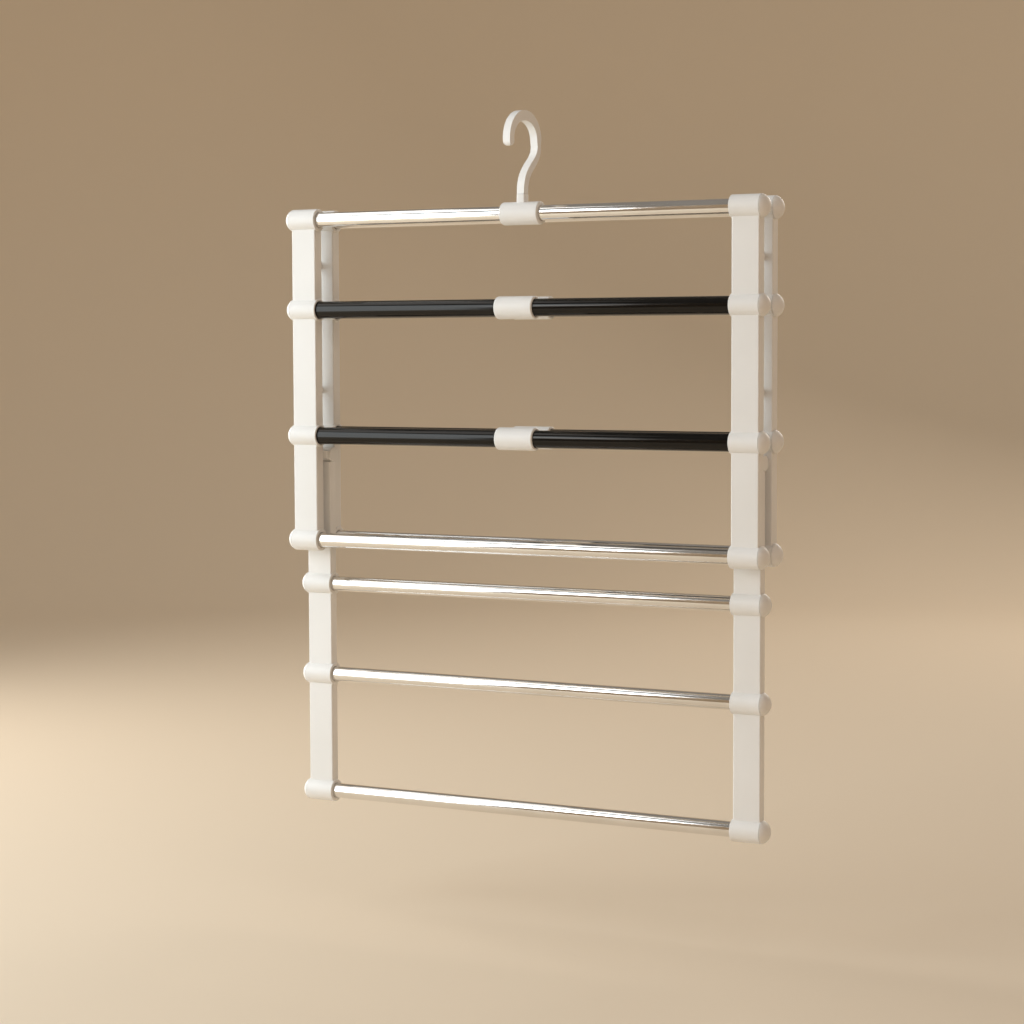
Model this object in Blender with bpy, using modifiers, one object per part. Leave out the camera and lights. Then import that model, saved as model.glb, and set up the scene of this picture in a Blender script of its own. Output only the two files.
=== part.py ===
"""Trouser rack with a swivel hook, twin upper frames and a lower frame that slides down between them."""
import math

import bmesh
import bpy
from mathutils import Matrix, Vector

# Lengths are in metres. X runs along the bars, Y to the rear and Z up.
# The origin is where the hook's inside rests on a wardrobe rod.

# Clearances
FIT_GAP = 0.0003
RUNNING_GAP = 0.0004
OVERRUN = 0.002

# Whole rack
RACK_WIDTH = 0.550
HOOK_DROP = 0.094
SLEEVE_SHIFT = 0.0074

# Heights between neighbouring bars
SECOND_PITCH = 0.0975
THIRD_PITCH = 0.137
BOTTOM_PITCH = 0.1145
FIFTH_PITCH = 0.0495
SIXTH_PITCH = 0.1005
SEVENTH_PITCH = 0.1305

# Bars
TUBE_DIAMETER = 0.016
TUBE_WALL = 0.001
GRIP_WALL = 0.001

# Side rails
RAIL_WIDTH = 0.030
RAIL_DEPTH = 0.013
LOWER_RAIL_DEPTH = 0.011
LOWER_INSET = 0.005
RAIL_WALL = 0.0022
RAIL_EDGE = 0.0012
RIB_THICKNESS = 0.0016
BAY_END_WALL = 0.001

# Sockets moulded on the rails
SOCKET_DIAMETER = 0.024
SOCKET_LIP = 0.0015
SOCKET_PROUD = 0.0006
GRIP_SEAT = 0.005

# Domed end caps
CAP_BULGE = 0.008
CAP_PLUG_LENGTH = 0.014

# Sleeves at the middle of the bars
SLEEVE_LENGTH = 0.0445
SLEEVE_EDGE = 0.0012
CLIP_LENGTH = 0.0445
CLIP_SHIFT = 0.0005
CLIP_WEB_WIDTH = 0.030
CLIP_WEB_THICKNESS = 0.005

# Spacers between the two upper frames
SPACER_DIAMETER = 0.008
SPACER_SHIFT = 0.0026
BOSS_PROUD = 0.0005
SPACER_SCREW_DIAMETER = 0.003
SPACER_SCREW_HEAD = 0.006
SPACER_HEAD_HEIGHT = 0.002
SPACER_SCREW_BITE = 0.007

# Slide shoes on the lower frame
SHOE_DROP = 0.021
SHOE_DIAMETER = 0.016
SHOE_OVERHANG = 0.001
SHOE_EDGE = 0.001
KEY_HEIGHT = 0.008
KEY_REACH = 0.003
KEY_END_INSET = 0.0005
TONGUE_WIDTH = 0.020
TONGUE_DEPTH = 0.005
TONGUE_TOP = 0.003

# Hook, in its own upright plane
HOOK_TURN_DEGREES = -7.0
HOOK_INSIDE_RADIUS = 0.0195
HOOK_TOP_THICKNESS = 0.0139
HOOK_SIDE_THICKNESS = 0.0102
HOOK_WIDTH = 0.009
HOOK_EDGE = 0.0018
HOOK_TIP_DROP = 0.0205
STEM_THICKNESS = 0.0078
LIMB_END_DROP = 0.024
STEM_BEND_DROP = 0.072
LIMB_PULL = 0.0191
STEM_PULL = 0.0276

# Swivel boss on the hook's sleeve
BOSS_HEIGHT = 0.0198
BOSS_WIDTH = 0.0098
BOSS_EDGE = 0.0012
SHANK_DIAMETER = 0.005
NECK_DIAMETER = 0.004
RING_DIAMETER = 0.008
RING_HEIGHT = 0.0014
POCKET_HEIGHT = 0.003
SHANK_FOOT = 0.001

# Faces round each turned shape
ROUND_STEPS = 16
SMALL_STEPS = 10
DOME_RINGS = 3
HOOK_ARC_STEPS = 14
HOOK_BEND_STEPS = 8
HOOK_NOSE_STEPS = 5
SMOOTH_ANGLE_DEGREES = 35.0

# Colours
OFF_WHITE = (0.80, 0.79, 0.76, 1.0)
CHROME = (0.78, 0.78, 0.78, 1.0)
BLACK = (0.012, 0.012, 0.012, 1.0)
STEEL = (0.55, 0.55, 0.56, 1.0)

# Sizes that follow from the ones above
TUBE_RADIUS = TUBE_DIAMETER / 2
TUBE_BORE_RADIUS = TUBE_RADIUS - TUBE_WALL
GRIP_BORE_RADIUS = TUBE_RADIUS + FIT_GAP
GRIP_RADIUS = GRIP_BORE_RADIUS + GRIP_WALL
SOCKET_RADIUS = SOCKET_DIAMETER / 2
SOCKET_LENGTH = RAIL_WIDTH + SOCKET_LIP + SOCKET_PROUD
FRAME_PITCH = SOCKET_DIAMETER + LOWER_RAIL_DEPTH + 2 * RUNNING_GAP
LOWER_WIDTH = RACK_WIDTH - 2 * LOWER_INSET
RAIL_GAP = FRAME_PITCH - RAIL_DEPTH
BAY_END = SOCKET_RADIUS + BAY_END_WALL
SHOE_RADIUS = SHOE_DIAMETER / 2
CAP_PLUG_RADIUS = TUBE_BORE_RADIUS - FIT_GAP
SECOND_DROP = SECOND_PITCH
THIRD_DROP = SECOND_DROP + THIRD_PITCH
BOTTOM_DROP = THIRD_DROP + BOTTOM_PITCH
SHOE_HEIGHT_DROP = THIRD_DROP + SHOE_DROP
FIFTH_DROP = BOTTOM_DROP + FIFTH_PITCH
SIXTH_DROP = FIFTH_DROP + SIXTH_PITCH
SEVENTH_DROP = SIXTH_DROP + SEVENTH_PITCH

# The bars of each frame: name, drop below the top bar, and whether it has a black grip
UPPER_BARS = (
    ("top", 0.0, False),
    ("second", SECOND_DROP, True),
    ("third", THIRD_DROP, True),
    ("bottom", BOTTOM_DROP, False),
)
LOWER_BARS = (
    ("top", FIFTH_DROP, False),
    ("middle", SIXTH_DROP, False),
    ("bottom", SEVENTH_DROP, False),
)
UPPER_BAY_CELLS = (2, 3, 1)
LOWER_BAY_CELLS = (3, 2, 3)
SPACER_RIB_COUNTS = (("upper", 0, 1), ("lower", 1, 2))
SIDES = (("left", -1), ("right", 1))

X_AXIS = Vector((1, 0, 0))
Y_AXIS = Vector((0, 1, 0))
Z_AXIS = Vector((0, 0, 1))

parts = bpy.data.collections.new("trouser_rack")
cutters = bpy.data.collections.new("cutters")


def start_scene():
    """Empties the scene and links the two collections."""
    for item in list(bpy.data.objects):
        bpy.data.objects.remove(item, do_unlink=True)
    bpy.context.scene.collection.children.link(parts)
    bpy.context.scene.collection.children.link(cutters)


def make_material(name, colour, roughness, metallic):
    """A Principled material of one colour."""
    material = bpy.data.materials.new(name)
    material.use_nodes = True
    shader = material.node_tree.nodes["Principled BSDF"]
    shader.inputs["Base Color"].default_value = colour
    shader.inputs["Roughness"].default_value = roughness
    shader.inputs["Metallic"].default_value = metallic
    material.diffuse_color = colour
    return material


def turn_to(axis):
    """The turn that lays a shape's own Z along an axis."""
    return Z_AXIS.rotation_difference(axis).to_matrix().to_4x4()


def placed(centre, axis=Z_AXIS):
    """A place and a direction as one matrix."""
    return Matrix.Translation(centre) @ turn_to(axis)


def box_mesh(size, centre=(0, 0, 0)):
    """A box of a given size about a centre."""
    mesh = bpy.data.meshes.new("box")
    shape = bmesh.new()
    bmesh.ops.create_cube(shape, size=1, matrix=Matrix.Translation(centre) @ Matrix.Diagonal((*size, 1)))
    shape.to_mesh(mesh)
    shape.free()
    return mesh


def rod_mesh(radius, low, high, steps):
    """A round rod along Z from one height to another."""
    mesh = bpy.data.meshes.new("rod")
    shape = bmesh.new()
    middle = Matrix.Translation((0, 0, (low + high) / 2))
    bmesh.ops.create_cone(
        shape, cap_ends=True, segments=steps, radius1=radius, radius2=radius, depth=high - low, matrix=middle
    )
    shape.to_mesh(mesh)
    shape.free()
    return mesh


def turned_mesh(profile, steps, ring=False):
    """A profile of radius and height, from top to bottom, turned about Z by a Screw modifier."""
    line = bpy.data.meshes.new("profile")
    points = [(radius, 0, height) for radius, height in profile]
    edges = [(i, i + 1) for i in range(len(points) - 1)]
    if ring:
        edges.append((len(points) - 1, 0))
    line.from_pydata(points, edges, [])
    carrier = bpy.data.objects.new("profile", line)
    cutters.objects.link(carrier)
    screw = carrier.modifiers.new("turn", "SCREW")
    screw.steps = steps
    screw.render_steps = steps
    screw.use_merge_vertices = True
    screw.merge_threshold = 0.00001
    bpy.context.view_layer.update()
    evaluated = carrier.evaluated_get(bpy.context.evaluated_depsgraph_get())
    mesh = bpy.data.meshes.new_from_object(evaluated)
    bpy.data.objects.remove(carrier)
    bpy.data.meshes.remove(line)
    return mesh


def joined_mesh(pieces):
    """Several meshes, each with its matrix, as the separate bodies of one mesh."""
    mesh = bpy.data.meshes.new("joined")
    shape = bmesh.new()
    for piece, matrix in pieces:
        moved = piece.copy()
        moved.transform(matrix)
        shape.from_mesh(moved)
        bpy.data.meshes.remove(moved)
    shape.to_mesh(mesh)
    shape.free()
    return mesh


def add_part(name, mesh, material, parent, place=(0, 0, 0), axis=Z_AXIS):
    """A sub-part: its mesh, material, parent and place."""
    mesh = mesh.copy()
    mesh.name = name
    mesh.materials.clear()
    mesh.materials.append(material)
    mesh.shade_smooth()
    mesh.set_sharp_from_angle(angle=math.radians(SMOOTH_ANGLE_DEGREES))
    part = bpy.data.objects.new(name, mesh)
    parts.objects.link(part)
    part.parent = parent
    part.matrix_local = placed(place, axis)
    return part


def cut_or_join(part, name, mesh, operation):
    """A Boolean on a part by a hidden mesh in the part's own space."""
    tool = bpy.data.objects.new(f"{part.name}_{name}", mesh)
    cutters.objects.link(tool)
    tool.parent = part
    tool.hide_render = True
    tool.display_type = "WIRE"
    step = part.modifiers.new(name, "BOOLEAN")
    step.operation = operation
    step.solver = "EXACT"
    step.object = tool


def round_edges(part, width, segments):
    """A Bevel modifier on the sharp edges of a part."""
    bevel = part.modifiers.new("edges", "BEVEL")
    bevel.width = width
    bevel.segments = segments
    bevel.limit_method = "ANGLE"


def tube_mesh(outside, inside, length, steps):
    """A tube along Z about its middle, open at both ends."""
    profile = [(outside, length / 2), (outside, -length / 2), (inside, -length / 2), (inside, length / 2)]
    return turned_mesh(profile, steps, ring=True)


def barrel_mesh(radius, length, edge, steps):
    """A solid barrel along Z about its middle, with a small slope at both ends."""
    half = length / 2
    profile = [(0, half), (radius - edge, half), (radius, half - edge), (radius, edge - half)]
    profile += [(radius - edge, -half), (0, -half)]
    return turned_mesh(profile, steps)


def socket_bore_mesh(grip):
    """What is cut out of a socket, along Z from its inner end outwards."""
    tube = TUBE_RADIUS + FIT_GAP
    top = SOCKET_LENGTH + OVERRUN
    if not grip:
        return rod_mesh(tube, -OVERRUN, top, ROUND_STEPS)
    wide = GRIP_RADIUS + FIT_GAP
    profile = [(0, top), (tube, top), (tube, GRIP_SEAT), (wide, GRIP_SEAT), (wide, -OVERRUN), (0, -OVERRUN)]
    return turned_mesh(profile, ROUND_STEPS)


def cell_boxes(top, bottom, cells):
    """The heights of the cells that ribs divide one bay of a rail into."""
    length = (top - bottom - (cells - 1) * RIB_THICKNESS) / cells
    spans = []
    for number in range(cells):
        high = top - number * (length + RIB_THICKNESS)
        spans.append((high - length, high))
    return spans


def rib_height(bay, rib):
    """The height of a rib's middle in a bay of an upper rail, counted from the bay's top."""
    cells = UPPER_BAY_CELLS[bay]
    top = -UPPER_BARS[bay][1] - BAY_END
    bottom = -UPPER_BARS[bay + 1][1] + BAY_END
    spans = cell_boxes(top, bottom, cells)
    return spans[rib][1] + RIB_THICKNESS / 2


def rail_channel_mesh(depth, bays):
    """The cells of a rail's channel, open to the rear."""
    floor = -depth / 2 + RAIL_WALL
    mouth = depth / 2 + OVERRUN
    width = RAIL_WIDTH - 2 * RAIL_WALL
    boxes = []
    for top, bottom, cells in bays:
        for low, high in cell_boxes(top, bottom, cells):
            size = (width, mouth - floor, high - low)
            boxes.append((box_mesh(size, (0, (mouth + floor) / 2, (low + high) / 2)), Matrix()))
    return joined_mesh(boxes)


def add_rail(name, parent, side, form, bars, bays, extras, material):
    """A moulded side rail: channel, sockets and bores. Its own origin is at the top bar's height.

    The form holds the frame's width, the rail's place in Y, its depth and its top.
    """
    width, place_y, depth, top = form
    bottom = -bars[-1][1]
    place_x = side * (width - RAIL_WIDTH) / 2
    body = box_mesh((RAIL_WIDTH, depth, top - bottom), (0, 0, (top + bottom) / 2))
    rail = add_part(name, body, material, parent, (place_x, place_y, 0))
    round_edges(rail, RAIL_EDGE, 1)
    cut_or_join(rail, "channel", rail_channel_mesh(depth, bays), "DIFFERENCE")
    inner = -side * (RAIL_WIDTH / 2 + SOCKET_LIP)
    outwards = side * X_AXIS
    socket = rod_mesh(SOCKET_RADIUS, 0, SOCKET_LENGTH, ROUND_STEPS)
    shapes = [(socket, placed((inner, 0, -drop), outwards)) for label, drop, grip in bars]
    cut_or_join(rail, "sockets", joined_mesh(shapes + extras), "UNION")
    bores = [(socket_bore_mesh(grip), placed((inner, 0, -drop), outwards)) for label, drop, grip in bars]
    cut_or_join(rail, "bores", joined_mesh(bores), "DIFFERENCE")
    return rail


def upper_bays():
    """Top, bottom and number of cells of each bay of an upper rail."""
    bays = []
    for number, cells in enumerate(UPPER_BAY_CELLS):
        top = -UPPER_BARS[number][1] - BAY_END
        bottom = -UPPER_BARS[number + 1][1] + BAY_END
        bays.append((top, bottom, cells))
    return bays


def lower_bays(shoulder):
    """Top, bottom and number of cells of each bay of a lower rail."""
    tops = [shoulder - RAIL_WALL] + [-drop - BAY_END for label, drop, grip in LOWER_BARS[:-1]]
    return [
        (top, -bar[1] + BAY_END, cells) for top, bar, cells in zip(tops, LOWER_BARS, LOWER_BAY_CELLS)
    ]


def add_upper_rail(name, parent, side, place_y, through, material):
    """A side rail of the front frame, or of the rear one, whose screw holes go through."""
    low = -RAIL_DEPTH / 2 + RAIL_WALL / 2
    high = RAIL_DEPTH / 2 - SPACER_HEAD_HEIGHT if through else RAIL_DEPTH / 2 + BOSS_PROUD
    boss = rod_mesh(SPACER_DIAMETER / 2, low, high, SMALL_STEPS)
    bosses = []
    holes = []
    for label, bay, rib in SPACER_RIB_COUNTS:
        spot = placed((side * SPACER_SHIFT, 0, rib_height(bay, rib)), Y_AXIS)
        bosses.append((boss, spot))
        holes.append((spacer_hole_mesh(through), spot))
    form = (RACK_WIDTH, place_y, RAIL_DEPTH, 0)
    rail = add_rail(name, parent, side, form, UPPER_BARS, upper_bays(), bosses, material)
    cut_or_join(rail, "screw_holes", joined_mesh(holes), "DIFFERENCE")
    return rail


def spacer_hole_mesh(through):
    """The hole of a spacer screw in an upper rail, along Z to the rear."""
    hole = SPACER_SCREW_DIAMETER / 2 + FIT_GAP
    head = SPACER_SCREW_HEAD / 2 + FIT_GAP
    top = RAIL_DEPTH / 2 + BOSS_PROUD + OVERRUN
    if not through:
        bottom = RAIL_DEPTH / 2 + BOSS_PROUD - SPACER_SCREW_BITE - FIT_GAP
        return turned_mesh([(0, top), (hole, top), (hole, bottom), (0, bottom)], SMALL_STEPS)
    seat = RAIL_DEPTH / 2 - SPACER_HEAD_HEIGHT - FIT_GAP
    bottom = -RAIL_DEPTH / 2 - OVERRUN
    profile = [(0, top), (head, top), (head, seat), (hole, seat), (hole, bottom), (0, bottom)]
    return turned_mesh(profile, SMALL_STEPS)


def add_lower_rail(name, parent, side, material):
    """A side rail of the lower frame, with the tongue that its slide shoe sits on."""
    shoulder = -SHOE_HEIGHT_DROP - SHOE_RADIUS - FIT_GAP
    tongue_bottom = shoulder - RAIL_WALL
    tongue_top = -SHOE_HEIGHT_DROP + TONGUE_TOP
    size = (TONGUE_WIDTH, TONGUE_DEPTH, tongue_top - tongue_bottom)
    tongue = box_mesh(size, (0, 0, (tongue_top + tongue_bottom) / 2))
    form = (LOWER_WIDTH, 0, LOWER_RAIL_DEPTH, shoulder)
    extras = [(tongue, Matrix())]
    return add_rail(name, parent, side, form, LOWER_BARS, lower_bays(shoulder), extras, material)


def add_shoe(name, parent, side, material):
    """The slide shoe: a barrel, a pad that runs between the rails and a key in the front rail's channel."""
    place_x = side * (LOWER_WIDTH - RAIL_WIDTH) / 2
    length = RAIL_WIDTH + 2 * SHOE_OVERHANG
    barrel = joined_mesh([(barrel_mesh(SHOE_RADIUS, length, SHOE_EDGE, ROUND_STEPS), turn_to(X_AXIS))])
    shoe = add_part(name, barrel, material, parent, (place_x, 0, -SHOE_HEIGHT_DROP))
    pad = (length - 2 * SHOE_EDGE - 2 * KEY_END_INSET, RAIL_GAP - 2 * RUNNING_GAP, KEY_HEIGHT)
    cut_or_join(shoe, "pad", box_mesh(pad), "UNION")
    near = RACK_WIDTH / 2 - RAIL_WIDTH + RAIL_WALL + RUNNING_GAP - side * place_x
    far = RACK_WIDTH / 2 - RAIL_WALL - RUNNING_GAP - side * place_x
    reach = RAIL_GAP / 2 + KEY_REACH
    key = box_mesh((far - near, reach, KEY_HEIGHT), (side * (near + far) / 2, -reach / 2, 0))
    cut_or_join(shoe, "key", key, "UNION")
    top = TONGUE_TOP + FIT_GAP
    bottom = -SHOE_RADIUS - OVERRUN
    pocket = (TONGUE_WIDTH + 2 * FIT_GAP, TONGUE_DEPTH + 2 * FIT_GAP, top - bottom)
    cut_or_join(shoe, "pocket", box_mesh(pocket, (0, 0, (top + bottom) / 2)), "DIFFERENCE")
    return shoe


def cap_mesh():
    """A domed end cap: its plug points down Z and its dome up, from the socket's outer end."""
    radius = SOCKET_RADIUS
    sphere = (radius ** 2 + CAP_BULGE ** 2) / (2 * CAP_BULGE)
    reach = math.asin(radius / sphere)
    profile = []
    for number in range(DOME_RINGS + 1):
        angle = reach * number / DOME_RINGS
        profile.append((sphere * math.sin(angle), FIT_GAP + CAP_BULGE - sphere * (1 - math.cos(angle))))
    profile += [(CAP_PLUG_RADIUS, FIT_GAP), (CAP_PLUG_RADIUS, -CAP_PLUG_LENGTH), (0, -CAP_PLUG_LENGTH)]
    return turned_mesh(profile, ROUND_STEPS)


def add_bars(prefix, parent, width, place_y, bars, looks):
    """The tubes, grips and end caps of one frame."""
    inner_end = width / 2 - RAIL_WIDTH - SOCKET_LIP
    tube_length = width + 2 * SOCKET_PROUD
    grip_length = 2 * (inner_end + GRIP_SEAT - FIT_GAP)
    tube = tube_mesh(TUBE_RADIUS, TUBE_BORE_RADIUS, tube_length, ROUND_STEPS)
    grip_tube = tube_mesh(GRIP_RADIUS, GRIP_BORE_RADIUS, grip_length, ROUND_STEPS)
    cap = cap_mesh()
    cap_place = width / 2 + SOCKET_PROUD
    for label, drop, grip in bars:
        add_part(f"{prefix}_{label}_bar", tube, looks["chrome"], parent, (0, place_y, -drop), X_AXIS)
        if grip:
            grip_name = f"{prefix}_{label}_grip"
            add_part(grip_name, grip_tube, looks["black"], parent, (0, place_y, -drop), X_AXIS)
        for hand, side in SIDES:
            spot = (side * cap_place, place_y, -drop)
            add_part(f"{prefix}_{label}_{hand}_cap", cap, looks["white"], parent, spot, side * X_AXIS)


def add_spacers(parent, looks):
    """The tubes and long screws that tie the rear frame to the front one."""
    length = RAIL_GAP - BOSS_PROUD - 2 * FIT_GAP
    place_y = (RAIL_DEPTH + RAIL_GAP + BOSS_PROUD) / 2
    hole = SPACER_SCREW_DIAMETER / 2 + FIT_GAP
    spacer = tube_mesh(SPACER_DIAMETER / 2, hole, length, SMALL_STEPS)
    outside = FRAME_PITCH + RAIL_DEPTH / 2
    seat = -SPACER_HEAD_HEIGHT
    tip = -(FRAME_PITCH - BOSS_PROUD + SPACER_SCREW_BITE)
    shank = SPACER_SCREW_DIAMETER / 2
    head = SPACER_SCREW_HEAD / 2
    profile = [(0, 0), (head, 0), (head, seat), (shank, seat), (shank, tip), (0, tip)]
    screw = turned_mesh(profile, SMALL_STEPS)
    for hand, side in SIDES:
        place_x = side * ((RACK_WIDTH - RAIL_WIDTH) / 2 + SPACER_SHIFT)
        for label, bay, rib in SPACER_RIB_COUNTS:
            height = rib_height(bay, rib)
            spot = (place_x, place_y, height)
            add_part(f"{hand}_{label}_spacer", spacer, looks["white"], parent, spot, Y_AXIS)
            place = (place_x, outside, height)
            add_part(f"{hand}_{label}_spacer_screw", screw, looks["steel"], parent, place, Y_AXIS)


def sleeve_bore_mesh(radius, length):
    """What is cut out of a sleeve along X."""
    half = length / 2 + OVERRUN
    return joined_mesh([(rod_mesh(radius, -half, half, ROUND_STEPS), turn_to(X_AXIS))])


def add_twin_clip(name, parent, drop, material):
    """Two sleeves on the front and rear grips, joined by a web."""
    sleeve = barrel_mesh(SOCKET_RADIUS, CLIP_LENGTH, SLEEVE_EDGE, ROUND_STEPS)
    half = FRAME_PITCH / 2
    front = joined_mesh([(sleeve, placed((0, -half, 0), X_AXIS))])
    rear = joined_mesh([(sleeve, placed((0, half, 0), X_AXIS))])
    clip = add_part(name, front, material, parent, (CLIP_SHIFT, half, -drop))
    reach = FRAME_PITCH - SOCKET_DIAMETER + 2 * GRIP_WALL
    cut_or_join(clip, "web", box_mesh((CLIP_WEB_WIDTH, reach, CLIP_WEB_THICKNESS)), "UNION")
    cut_or_join(clip, "rear_sleeve", rear, "UNION")
    bore = sleeve_bore_mesh(GRIP_RADIUS + FIT_GAP, CLIP_LENGTH)
    bores = [(bore, Matrix.Translation((0, -half, 0))), (bore, Matrix.Translation((0, half, 0)))]
    cut_or_join(clip, "bores", joined_mesh(bores), "DIFFERENCE")
    return clip


def add_hook_sleeve(parent, material):
    """The sleeve on the front top bar, with the upright boss that the hook swivels in."""
    upright_barrel = barrel_mesh(SOCKET_RADIUS, SLEEVE_LENGTH, SLEEVE_EDGE, ROUND_STEPS)
    barrel = joined_mesh([(upright_barrel, turn_to(X_AXIS))])
    sleeve = add_part("hook_sleeve", barrel, material, parent, (SLEEVE_SHIFT, 0, 0))
    foot = TUBE_RADIUS
    boss = bmesh.new()
    centre = Matrix.Translation((0, 0, (foot + BOSS_HEIGHT) / 2))
    scale = Matrix.Diagonal((BOSS_WIDTH, BOSS_WIDTH, BOSS_HEIGHT - foot, 1))
    bmesh.ops.create_cube(boss, size=1, matrix=centre @ scale)
    upright = [edge for edge in boss.edges if abs(edge.verts[0].co.z - edge.verts[1].co.z) > foot / 2]
    bmesh.ops.bevel(boss, geom=upright, offset=BOSS_EDGE, segments=2, profile=0.5, affect="EDGES")
    boss_mesh = bpy.data.meshes.new("boss")
    boss.to_mesh(boss_mesh)
    boss.free()
    cut_or_join(sleeve, "boss", boss_mesh, "UNION")
    bore = TUBE_RADIUS + FIT_GAP
    cut_or_join(sleeve, "bore", sleeve_bore_mesh(bore, SLEEVE_LENGTH), "DIFFERENCE")
    shank = SHANK_DIAMETER / 2 + FIT_GAP
    pocket = RING_DIAMETER / 2 + FIT_GAP
    ceiling = bore + POCKET_HEIGHT
    top = BOSS_HEIGHT + OVERRUN
    low = bore - OVERRUN
    profile = [(0, top), (shank, top), (shank, ceiling), (pocket, ceiling), (pocket, low), (0, low)]
    cut_or_join(sleeve, "shank_hole", turned_mesh(profile, SMALL_STEPS), "DIFFERENCE")
    return sleeve


def hook_centre_line():
    """Points of the hook's middle line with the half thickness there, from the tip to the stem's foot."""
    radius = HOOK_INSIDE_RADIUS + HOOK_SIDE_THICKNESS / 2
    centre = HOOK_TOP_THICKNESS / 2 - radius
    side_half = HOOK_SIDE_THICKNESS / 2
    top_half = HOOK_TOP_THICKNESS / 2
    tip_angle = math.pi + math.asin((HOOK_TIP_DROP + centre) / radius)
    line = []
    for number in range(HOOK_ARC_STEPS + 1):
        angle = tip_angle * (1 - number / HOOK_ARC_STEPS)
        half = side_half + (top_half - side_half) * max(math.sin(angle), 0) ** 2
        line.append((radius * math.cos(angle), centre + radius * math.sin(angle), half))
    start = Vector((radius, -LIMB_END_DROP))
    end = Vector((0, -STEM_BEND_DROP))
    pulls = (start, start - Vector((0, LIMB_PULL)), end + Vector((0, STEM_PULL)), end)
    for number in range(HOOK_BEND_STEPS + 1):
        share = number / HOOK_BEND_STEPS
        weights = ((1 - share) ** 3, 3 * share * (1 - share) ** 2, 3 * share ** 2 * (1 - share), share ** 3)
        spot = sum((weight * pull for weight, pull in zip(weights, pulls)), Vector((0, 0)))
        blend = min(share * 2, 1)
        half = side_half + (STEM_THICKNESS / 2 - side_half) * blend
        line.append((spot.x, spot.y, half))
    line.append((0, -(HOOK_DROP - BOSS_HEIGHT) + FIT_GAP, STEM_THICKNESS / 2))
    return line


def hook_outline():
    """The hook's outline: both sides of its middle line, with a round tip."""
    line = hook_centre_line()
    left = []
    right = []
    for number, (across, height, half) in enumerate(line):
        before = line[max(number - 1, 0)]
        after = line[min(number + 1, len(line) - 1)]
        along = Vector((after[0] - before[0], after[1] - before[1])).normalized()
        spot = Vector((across, height))
        side = Vector((-along.y, along.x)) * half
        left.append(spot + side)
        right.append(spot - side)
    tip = Vector(line[0][:2])
    half = line[0][2]
    along = (Vector(line[1][:2]) - tip).normalized()
    side = Vector((-along.y, along.x))
    nose = []
    for number in range(1, HOOK_NOSE_STEPS):
        angle = math.pi * number / HOOK_NOSE_STEPS
        nose.append(tip - side * half * math.cos(angle) - along * half * math.sin(angle))
    return nose + left + right[::-1]


def hook_mesh():
    """The hook's outline as a flat curve of its full width, as a closed mesh."""
    curve = bpy.data.curves.new("hook_outline", "CURVE")
    curve.dimensions = "2D"
    curve.fill_mode = "BOTH"
    curve.extrude = HOOK_WIDTH / 2
    points = hook_outline()
    spline = curve.splines.new("POLY")
    spline.points.add(len(points) - 1)
    for point, place in zip(spline.points, points):
        point.co = (place.x, place.y, 0, 1)
    spline.use_cyclic_u = True
    carrier = bpy.data.objects.new("hook_outline", curve)
    cutters.objects.link(carrier)
    bpy.context.view_layer.update()
    evaluated = carrier.evaluated_get(bpy.context.evaluated_depsgraph_get())
    mesh = bpy.data.meshes.new_from_object(evaluated)
    bpy.data.objects.remove(carrier)
    shape = bmesh.new()
    shape.from_mesh(mesh)
    bmesh.ops.remove_doubles(shape, verts=shape.verts, dist=FIT_GAP / 10)
    bmesh.ops.dissolve_limit(shape, angle_limit=math.radians(1), verts=shape.verts, edges=shape.edges)
    bmesh.ops.recalc_face_normals(shape, faces=shape.faces)
    shape.to_mesh(mesh)
    shape.free()
    mesh.transform(Matrix.Rotation(math.pi / 2, 4, "Z") @ Matrix.Rotation(math.pi / 2, 4, "X"))
    return mesh


def add_hook(parent, material):
    """The hook with its round shank and the neck that the ring sits in."""
    hook = add_part("hook", hook_mesh(), material, parent)
    round_edges(hook, HOOK_EDGE, 2)
    bore_top = -HOOK_DROP + TUBE_RADIUS + FIT_GAP
    ceiling = bore_top + POCKET_HEIGHT
    shank = SHANK_DIAMETER / 2
    neck = NECK_DIAMETER / 2
    foot_low = bore_top
    foot_high = foot_low + SHANK_FOOT
    top = -HOOK_DROP + BOSS_HEIGHT + OVERRUN
    profile = [(0, top), (shank, top), (shank, ceiling), (neck, ceiling)]
    profile += [(neck, foot_high), (shank, foot_high), (shank, foot_low), (0, foot_low)]
    cut_or_join(hook, "shank", turned_mesh(profile, SMALL_STEPS), "UNION")
    return hook


def add_hook_ring(parent, material):
    """The ring that is pushed on the shank's neck and carries the rack."""
    ceiling = -HOOK_DROP + TUBE_RADIUS + FIT_GAP + POCKET_HEIGHT
    ring = tube_mesh(RING_DIAMETER / 2, NECK_DIAMETER / 2 + FIT_GAP, RING_HEIGHT, SMALL_STEPS)
    return add_part("hook_ring", ring, material, parent, (0, 0, ceiling - FIT_GAP - RING_HEIGHT / 2))


def add_empty(name, parent, place):
    """A bare point that carries other parts."""
    empty = bpy.data.objects.new(name, None)
    parts.objects.link(empty)
    empty.parent = parent
    empty.location = place
    return empty


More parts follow.
